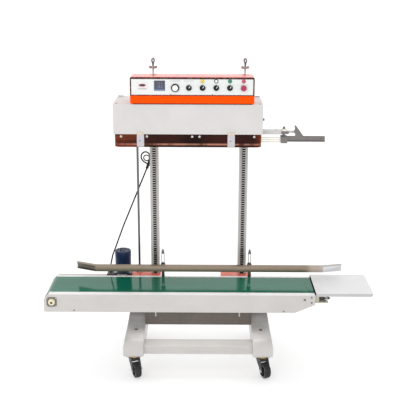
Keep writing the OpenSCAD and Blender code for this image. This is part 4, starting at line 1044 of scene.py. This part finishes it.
def fill_gearbox(bm):
    lo = low("gearbox")
    hi = high("gearbox")
    gland = CABLE_ROUTE[0]
    add_block(bm, (-470, -37, lo.z), (-368, 45, lo.z + 6), 0.8, 0)
    add_block(bm, (-468, -35, lo.z + 6), (-370, 43, 464), 2.0, 0)
    for z in (402, 414, 426, 438, 450):
        add_block(bm, (-470, -33, z), (-368, 45, z + 5), 1.0, 0)
    # top plate, front lip and the bright clamp plate let into it
    add_block(bm, (lo.x, -37, 464), (hi.x, hi.y, 470), 1.0, 0)
    for a, b in ((lo.x, -433), (-386, hi.x)):
        add_block(bm, (a, lo.y, hi.z - 6), (b, -36, hi.z), 1.0, 0)
    add_block(bm, (-434, lo.y + 14, hi.z - 6), (-385, -36, hi.z), 0.6, 0)
    add_block(bm, (-432.7, lo.y, hi.z - 5), (-386.3, lo.y + 14, hi.z), 1.2, 1)
    for x in (-424, -395):
        add_pan_screw(bm, (x, lo.y + 7, hi.z - 0.6), Z_AXIS, 2.6, 0.6, 3)
    add_block(bm, (-450, -35.7, 470), (-369, 48, hi.z), 0.8, 1)
    for x, y in ((-444, -30), (-375, -30), (-444, 42), (-375, 42)):
        add_socket_screw(bm, (x, y, 470.2), Z_AXIS, 3.4, 3.6, 3)
    for x, y in ((lo.x + 7, -50), (lo.x + 7, 42)):
        add_socket_screw(bm, (x, y, 470), Z_AXIS, 3.0, 3.8, 3)
    # seal ring at the output shaft, set back from the sprocket
    add_turned(bm, (GEAR_X, -35, ROLLER_Z), FRONT, [(0, 15), (1.6, 15), (2, 14.4), (2, 8.4)], 40, 1)
    # ribbed cable gland
    add_hex_bolt(bm, (gland[0], gland[1], 470), Z_AXIS, 11, 2.0, 2)
    add_turned(bm, (gland[0], gland[1], 472), Z_AXIS, [(0, 5.2), (0.9, 5.4), (1.4, 4.6), (1.9, 3.4)], 28, 2)


def make_drive():
    build("motor_housing", [NAVY, ZINC, BLACK_PLASTIC, NAVY_HIGHLIGHT], "motor", fill_motor, True)
    build("gearbox_casting", [BLACK_PAINT, ZINC, BLACK_PLASTIC, STEEL_DARK], "gearbox", fill_gearbox, True)
    build("drive_chain_links", [RACK_TIP], "drive_chain", fill_chain, True)
    dress("chain_guard", [PAINT], 0.7)
    dress("motor_sprocket", [STEEL_DARK], 0.4)
    dress("drive_shaft", [STEEL_DARK], 0.6)
    dress("post_covers", [COVER_ORANGE_REFLECTION, ZINC], 1.0, lambda c, n: int(c.z > 469.6))


# ------------------------------------------------------------------ guide rail

RAIL_Z = 530
BRACKET_XS = (-213, 194)


def fill_rail_fittings(bm):
    for x in BRACKET_XS:
        add_thread(bm, (x, -117, RAIL_Z), Y_AXIS, 4, 53, 1.25, 0)
        add_turned(bm, (x, -117, RAIL_Z), Y_AXIS, [(0, 7), (34, 7), (34.6, 6.6), (34.6, 4.2)], 28)
        lobes = lambda a: 10.4 + 0.6 * math.cos(6 * a)
        knob = [(0, 8), (1, lobes), (8, lobes), (10, 8.8), (11.2, 5.5), (11.2, 4.2)]
        add_turned(bm, (x, -76.6, RAIL_Z), Y_AXIS, knob, 48, 1)


def make_rail():
    # the bent right end takes the light copy, a painted highlight; the left end and the underside take the
    # dark copy, painted shade
    def rail_face(c, n):
        if c.x > 536:
            return 1
        if c.x < -528 or n.z < -0.5:
            return 2
        return 0
    dress("guide_rail", [STAINLESS, STAINLESS_HIGHLIGHT, STAINLESS_SHADE], 0.5, rail_face)
    build("rail_clamp_fittings", [BRACKET_STEEL, BLACK_PLASTIC], "guide_rail", fill_rail_fittings)
    dress("rail_brackets", [BRACKET_STEEL], 0.5)
    def fill(bm):
        for x in BRACKET_XS:
            add_pan_screw(bm, (x, -71, 475), Z_AXIS, 3, 2, 0, 15)
    build("rail_bracket_screws", [ZINC], "rail_brackets", fill)


# ------------------------------------------------------------------ head

HEAD_Y = -280
BOX_Z0 = 1328


def make_head_shell():
    dress("head_cover", [PAINT_LIT], 1.6, segments=3)
    x0 = low("head_cover").x
    x1 = high("head_cover").x
    dress("shield", [AMBER], 0.5)
    dress("sealing_deck", [ZINC], 0.5)
    dress("head_carriage", [ZINC, PAINT], 0.7, lambda c, n: int(-64.5 < c.y < -57.9))
    def clips(bm):
        lo = low("shield_clips")
        for x in (lo.x, high("shield_clips").x - 31):
            # a folded strap over the shield's edge, with a beige pad on its upper end
            add_block(bm, (x, HEAD_Y - 2, 1146.5), (x + 31, HEAD_Y - 0.2, 1194), 0.7, 0)
            add_block(bm, (x + 1.5, HEAD_Y - 1.8, 1194), (x + 29.5, HEAD_Y - 0.1, 1209.8), 0.6, 1)
            add_block(bm, (x, HEAD_Y - 0.2, 1146.5), (x + 31, HEAD_Y + 2.3, 1198), 0.6, 0)
            add_pan_screw(bm, (x + 13, HEAD_Y - 1.9, 1172), FRONT, 2.6, 0.6, 2, 10)
    build("shield_straps", [CLIP_WHITE, STRAP_PAD, STEEL_DARK], "shield_clips", clips, True)
    def screws(bm):
        for x in (-375, -265, -73, -42, 190):
            add_pan_screw(bm, (x, HEAD_Y + 2.5, 1190), FRONT, 3.6, 2.2, 0, 25)
            add_turned(bm, (x, HEAD_Y + 2.6, 1190), FRONT, [(0, 5), (0.5, 5), (0.7, 4.7)], 28)
    build("shield_screws", [BRIGHT], "shield", screws)
    def cover_bits(bm):
        # corner screws at the top front, screws and a knob on the right side, screws along the rear
        for x in (x0 + 14, x1 - 14):
            add_pan_screw(bm, (x, HEAD_Y + 14, BOX_Z0 - 0.1), Z_AXIS, 3.6, 2.2, 0, 15)
        for z in (1236, 1249, 1262, 1274):
            add_pan_screw(bm, (x1, -225, z), X_AXIS, 3.0, 2.2, 0, 15)
        knob = [(0, 3.5), (5, 3.5), (5.5, 5.5), (11, 5.5), (12, 4.6)]
        add_turned(bm, (x1, -205, 1251), X_AXIS, knob, 24)
        for x in (x0 + 60, x0 + 220, x1 - 220, x1 - 60):
            add_pan_screw(bm, (x, -76, BOX_Z0 - 0.1), Z_AXIS, 3.0, 1.8, 0, 15)
        # rubber buffers at the rear top corners
        for a, b in ((x0 + 2, x0 + 26), (x1 - 30, x1 - 2)):
            add_block(bm, (a, -72, BOX_Z0 - 0.2), (b, -66, BOX_Z0 + 3), 0.8, 1)
    build("cover_fittings", [GREY_STEEL, GREY_PLASTIC], "head_cover", cover_bits)


def make_sealing():
    dress("sealing_bands", [BAND], 0)
    dress("heating_blocks", [BRASS, ALUMINIUM], 0.6, lambda c, n: int(c.x >= -100))
    for a in ("front", "rear"):
        for b in ("drive", "idler"):
            dress(f"band_wheel_{a}_{b}", [SILICONE, ZINC], 0.6, lambda c, n: int(c.z >= 1164.9))


def make_lift():
    dress("lift_shaft", [STEEL_DARK], 0.3)
    dress("lift_crank", [ZINC, BLACK_PLASTIC], 0.8, lambda c, n: int(c.y > 75))


# ------------------------------------------------------------------ control box

PANEL_Y = low("control_panel").y
KNOB_Z = middle("speed_knob").z
SPEED_X = middle("speed_knob").x
SELECTOR_XS = [middle(f"selector_{i}").x for i in (1, 2, 3, 4)]
STOP_X = middle("stop_button").x
LAMP_Z = middle("indicator_lamps").z


def fill_panel_marks(bm):
    """Edge line, blank label plate, and plain rings and ticks where a maker's panel carries words."""
    y = PANEL_Y
    lo = low("control_panel")
    hi = high("control_panel")
    # dark edge line round the white panel, and a dark line along the bottom of the orange strip that paints
    # the shadow under the box
    box = low("control_box")
    for a, b in (
        ((lo.x + 2, y - 0.7, hi.z - 6), (hi.x - 2, y + 2.4, hi.z + 1.4)),
        ((lo.x, y - 0.7, lo.z - 0.6), (hi.x, y, lo.z + 2.6)),
        ((lo.x - 1.4, y - 0.7, lo.z), (lo.x + 4, y + 2.4, hi.z - 1)),
        ((hi.x - 4, y - 0.7, lo.z), (hi.x + 1.4, y + 2.4, hi.z - 1)),
        ((lo.x + 8, y + 1.6, box.z + 0.2), (hi.x - 8, y + 3.2, box.z + 3.4)),
    ):
        add_block(bm, a, b, 0.3, 0)
    # blank label plate with a plain oval mark and a bar
    add_block(bm, (-300, y - 0.8, 1389), (-258, y, 1420), 0.3, 1)
    oval = axis_matrix((-281, y - 0.7, 1408.5), FRONT) @ Matrix.Diagonal((2.6, 1.0, 1.0, 1.0))
    add_rings(bm, oval, [(0, 5.6), (0.5, 5.4), (0.6, 0.3)], 48, True, 2)
    add_block(bm, (-298, y - 1.2, 1392.5), (-262, y - 0.7, 1395.5), 0.2, 5)
    # rings over the speed knob and the first selector, ticks round the other selectors, two screws
    for cx in (SPEED_X, SELECTOR_XS[0]):
        for k in range(5):
            m = axis_matrix((cx - 17 + 8.5 * k, y, LAMP_Z + 1), FRONT)
            add_rings(bm, m, [(0, 2.8), (0.3, 2.8), (0.3, 1.6)], 16, False, 5)
    for cx in SELECTOR_XS[1:]:
        for a in (45, 90, 135):
            a = math.radians(a)
            m = axis_matrix((cx + 15.5 * math.cos(a), y, KNOB_Z + 15.5 * math.sin(a)), FRONT)
            add_rings(bm, m, [(0, 0.7), (0.25, 0.7)], 8, True, 3)
    for cx in (-162, 11):
        add_pan_screw(bm, (cx, y, 1370.5), FRONT, 2.2, 1.2, 4, 20)


def fill_display(bm):
    y = PANEL_Y
    add_block(bm, (-231.5, y - 2.2, 1386), (-186.5, y, 1428), 0.9, 0)
    add_block(bm, (-228.5, y - 2.9, 1393), (-189.5, y - 2.0, 1425), 0.5, 1)
    # two rows of bar digits, set to a plain number
    segments = {"1": "bc", "8": "abcdefg", "0": "abcdef"}
    spots = {
        "a": (0, 1, 1), "g": (0, 0, 1), "d": (0, -1, 1), "f": (-1, 0.5, 0), "b": (1, 0.5, 0),
        "e": (-1, -0.5, 0), "c": (1, -0.5, 0),
    }
    for z, tone in ((1417.5, 2), (1403.5, 3)):
        for i, digit in enumerate("180"):
            cx = -219 + i * 9.5
            for name in segments[digit]:
                ox, oz, flat = spots[name]
                px = cx + ox * 2.3
                pz = z + oz * 4
                w, h = (1.8, 0.45) if flat else (0.45, 1.6)
                add_block(bm, (px - w, y - 3.0, pz - h), (px + w, y - 2.8, pz + h), 0, tone)
    add_block(bm, (-228.5, y - 2.6, 1387.2), (-189.5, y - 2.1, 1392), 0.3, 4)
    for i in range(4):
        add_block(bm, (-227 + i * 9.8, y - 2.9, 1388), (-220 + i * 9.8, y - 2.5, 1391.2), 0.2, 4)


def fill_lamps(bm):
    y = PANEL_Y
    for i, x in enumerate((*SELECTOR_XS[1:], STOP_X)):
        m = axis_matrix((x, y, LAMP_Z), FRONT)
        add_rings(bm, m, [(0, 8.6), (1.2, 8.6), (1.8, 7.8), (1.8, 6.0)], 32, True, (0, 4, 2, 3)[i])
        lens = 5.2 if i == 1 else 6.4
        add_rings(bm, m, [(0.4, lens), (1.9, lens), (2.5, lens - 1), (2.9, 2.2), (3.0, 0.2)], 32, True, i)


def fill_knob(bm, x, r, skirt_h, total, body_r, flutes, pointer):
    y = PANEL_Y - 0.3
    m = axis_matrix((x, y, KNOB_Z), FRONT)
    add_rings(bm, m, [(0, r - 0.6), (0.5, r), (skirt_h - 0.6, r), (skirt_h, r - 1.0)], 64, True, 0)
    fluted = lambda f: lambda a: body_r * f * (1 + 0.018 * math.cos(flutes * a))
    body = [(skirt_h, 1), (total - 1.6, 0.97), (total - 0.5, 0.92), (total, 0.82), (total - 0.35, 0.6)]
    add_rings(bm, m, [*((h, fluted(f)) for h, f in body), (total - 0.35, 0.3)], 96, True, 1)
    if pointer:
        lean = shift(x, 0, KNOB_Z) @ spin(32, "Y")
        add_block(bm, (-2.4, y - total - 3.2, -r * 0.72), (2.4, y - total + 1, r * 0.72), 0.8, 1, lean)
        add_block(bm, (-1.2, y - total - 3.45, r * 0.05), (1.2, y - total - 3.1, r * 0.71), 0, 2, lean)
        add_block(bm, (-1.2, y - skirt_h - 0.2, r * 0.78), (1.2, y - skirt_h + 0.3, r * 0.95), 0, 2, lean)
    else:
        z0 = KNOB_Z + body_r * 0.35
        z1 = KNOB_Z + body_r * 0.85
        add_block(bm, (x - 0.7, y - total - 0.15, z0), (x + 0.7, y - total + 0.3, z1), 0, 0)
    add_turned(bm, (x, y, KNOB_Z), Y_AXIS, [(0, 3), (14.5, 3), (15, 2.6)], 24, 3)


def fill_button(bm):
    at = (STOP_X, PANEL_Y - 5, KNOB_Z)
    cap = [(0, 11.6), (0.6, 12.4), (4.5, 12.4), (7.2, 11.2), (8.6, 8.2), (9, 4), (9, 0.3)]
    add_turned(bm, at, FRONT, cap, 56)
    add_turned(bm, at, Y_AXIS, [(0, 3), (13, 3)], 24, 1)


def fill_box_rear(bm):
    """Pressed louvres, cover screws and a cable gland on the back of the control box."""
    lo = low("control_box")
    hi = high("control_box")
    y = hi.y
    for i in range(9):
        x = lo.x + 150 + i * 14
        for z in (BOX_Z0 + 36, BOX_Z0 + 70):
            add_block(bm, (x - 3, y - 0.5, z - 13), (x + 3, y + 1.6, z + 13), 1.2, 0)
            # a dark strip at each louvre's edge paints the shade in its opening
            add_block(bm, (x + 2.2, y - 0.2, z - 12), (x + 3.4, y + 0.5, z + 12), 0, 1)
    for x in (lo.x + 14, lo.x + 136, hi.x - 136, hi.x - 14):
        for z in (BOX_Z0 + 12, hi.z - 12):
            add_pan_screw(bm, (x, y, z), Y_AXIS, 3.2, 2, 2, x * 7)
    gland = [(0, hexagon(20)), (5, hexagon(20)), (5, 9), (11, 9), (14, 7.4), (14, 3.2), (12, 0.4)]
    add_turned(bm, (lo.x + 48, y, BOX_Z0 + 34), Y_AXIS, gland, 48, 3)


def make_control_box():
    top = high("control_box").z
    # the box's top faces take the pinker copy of the orange paint, a painted reflection
    dress("control_box", [ORANGE, ORANGE_TOP_REFLECTION], 1.6, lambda c, n: int(n.z > 0.3 and c.z > top - 8), segments=3)
    dress("control_panel", [PANEL_WHITE], 0.5)
    build("control_panel_marks", [MAROON, LABEL_PINK, INK_RED, INK, GREY_STEEL, GREY_PLASTIC],
          "control_panel", fill_panel_marks)
    red_digit = lamp_material("digit_dim_red", (0.30, 0.14, 0.22), 0.15)
    blue_digit = lamp_material("digit_dim_blue", (0.22, 0.26, 0.42), 0.15)
    keys = plastic("display_keys", (0.15, 0.19, 0.38), 0.4)
    build("temperature_display", [DISPLAY_CASE, SCREEN, red_digit, blue_digit, keys], "display",
          fill_display, True)
    build("indicator_lenses", [LAMP_YELLOW, LAMP_WHITE, LAMP_GREEN, LAMP_RED, GREEN_RING], "indicator_lamps",
          fill_lamps, True)
    build("speed_knob_cap", [BLACK_PLASTIC, WHITE_PLASTIC, INK, ZINC], "speed_knob",
          lambda bm: fill_knob(bm, SPEED_X, 17, 5, 16.2, 12.0, 24, False), True)
    for i, x in enumerate(SELECTOR_XS):
        build(f"selector_knob_{i + 1}", [BLACK_PLASTIC, BLACK_PLASTIC, WHITE_PLASTIC, ZINC],
              f"selector_{i + 1}", lambda bm: fill_knob(bm, x, 12, 2.6, 10.5, 9.2, 18, True), True)
    build("stop_button_cap", [RED_PLASTIC, ZINC], "stop_button", fill_button, True)
    build("box_rear_fittings", [ORANGE, STEEL_DARK, GREY_STEEL, BLACK_PLASTIC], "control_box", fill_box_rear)


# ------------------------------------------------------------------ infeed unit

def make_infeed():
    dress("infeed_arm", [PAINT_LIT], 1.2)
    x1 = high("head_cover").x
    steel = metal("guide_channel_steel", (0.205, 0.190, 0.185), 0.34, (1, 80, 80), 40)
    def rule(c, n):
        if c.x < x1 + 86.9 and c.z < 1171:
            return 2
        if c.z > 1197.9 and c.x < x1 + 113 and c.z < 1206.2:
            return 2
        if c.x < x1 + 114.2 and c.z < 1173.1:
            return 1
        return 0
    dress("infeed_guide", [steel, GREY_STEEL, CREAM_PLASTIC], 0.4, rule)
    def fill(bm):
        add_thread(bm, (x1 + 119, -174, 1192), X_AXIS, 4.6, 27, 1.5, 0)
        add_hex_bolt(bm, (x1 + 126, -174, 1192), X_AXIS, 12, 5, 0)
        add_turned(bm, (x1 + 100, -166, 1198), Z_AXIS, [(0, 7), (6, 7), (7, 6), (7, 3)], 32)
        add_thread(bm, (x1 + 100, -166, 1204), Z_AXIS, 3, 9, 1.0, 0)
        # rolled tip of the gusset
        add_turned(bm, (x1 + 149.5, -182, 1217), Y_AXIS, [(0, 3.2), (0.4, 3.6), (7.6, 3.6), (8, 3.2)], 24, 1)
        for x in (x1 + 126, x1 + 200, x1 + 262):
            add_pan_screw(bm, (x, -179, 1163), FRONT, 2.4, 1.4, 1, 20)
        for x in (x1 + 14, x1 + 66):
            add_socket_screw(bm, (x, -175, 1200), Z_AXIS, 3.4, 2.2, 0)
    build("infeed_small_parts", [BRIGHT, steel], "infeed_guide", fill)


# ------------------------------------------------------------------ stage and light

def make_stage():
    bpy.context.scene.view_settings.view_transform = "Standard"
    mesh = bpy.data.meshes.new("floor")
    size = 90.0
    corners = [(-size, -size, 0), (size, -size, 0), (size, size, 0), (-size, size, 0)]
    mesh.from_pydata(corners, [], [(0, 1, 2, 3)])
    floor = bpy.data.objects.new("floor", mesh)
    bpy.context.collection.objects.link(floor)
    s = Shader("pale_floor", (0.66, 0.66, 0.66), 0.8)
    s.color(s.ramp(s.noise(0.6, 2), [(0.3, (0.65, 0.65, 0.65)), (0.7, (0.67, 0.67, 0.67))]))
    s.bsdf.inputs["Emission Color"].default_value = (1, 1, 1, 1)
    s.bsdf.inputs["Emission Strength"].default_value = 0.42
    mesh.materials.append(s.material)

    world = bpy.data.worlds.new("studio")
    world.use_nodes = True
    background = world.node_tree.nodes["Background"]
    background.inputs["Color"].default_value = (1.0, 1.0, 1.0, 1)
    background.inputs["Strength"].default_value = 1.0
    bpy.context.scene.world = world

    for name, at, target, size, depth, power in (
        ("key", (-1.9, -3.5, 3.5), (0, 0, 0.5), 2.2, 2.2, 26),
        ("top", (0, -0.4, 4.4), (0, 0, 0.5), 3.4, 3.4, 12),
        ("low fill", (-0.046, -0.15, 0.27), (-0.046, -0.149, 0), 0.66, 0.08, 0.36),
    ):
        data = bpy.data.lights.new(name, "AREA")
        data.shape = "RECTANGLE"
        data.size = size
        data.size_y = depth
        data.energy = power
        light = bpy.data.objects.new(name, data)
        light.location = at
        light.rotation_euler = (Vector(target) - Vector(at)).to_track_quat("-Z", "Y").to_euler()
        bpy.context.collection.objects.link(light)


make_stand()
make_eye_studs()
make_casters()
make_conveyor()
make_drive()
make_rail()
make_head_shell()
make_sealing()
make_lift()
make_control_box()
make_infeed()
make_stage()
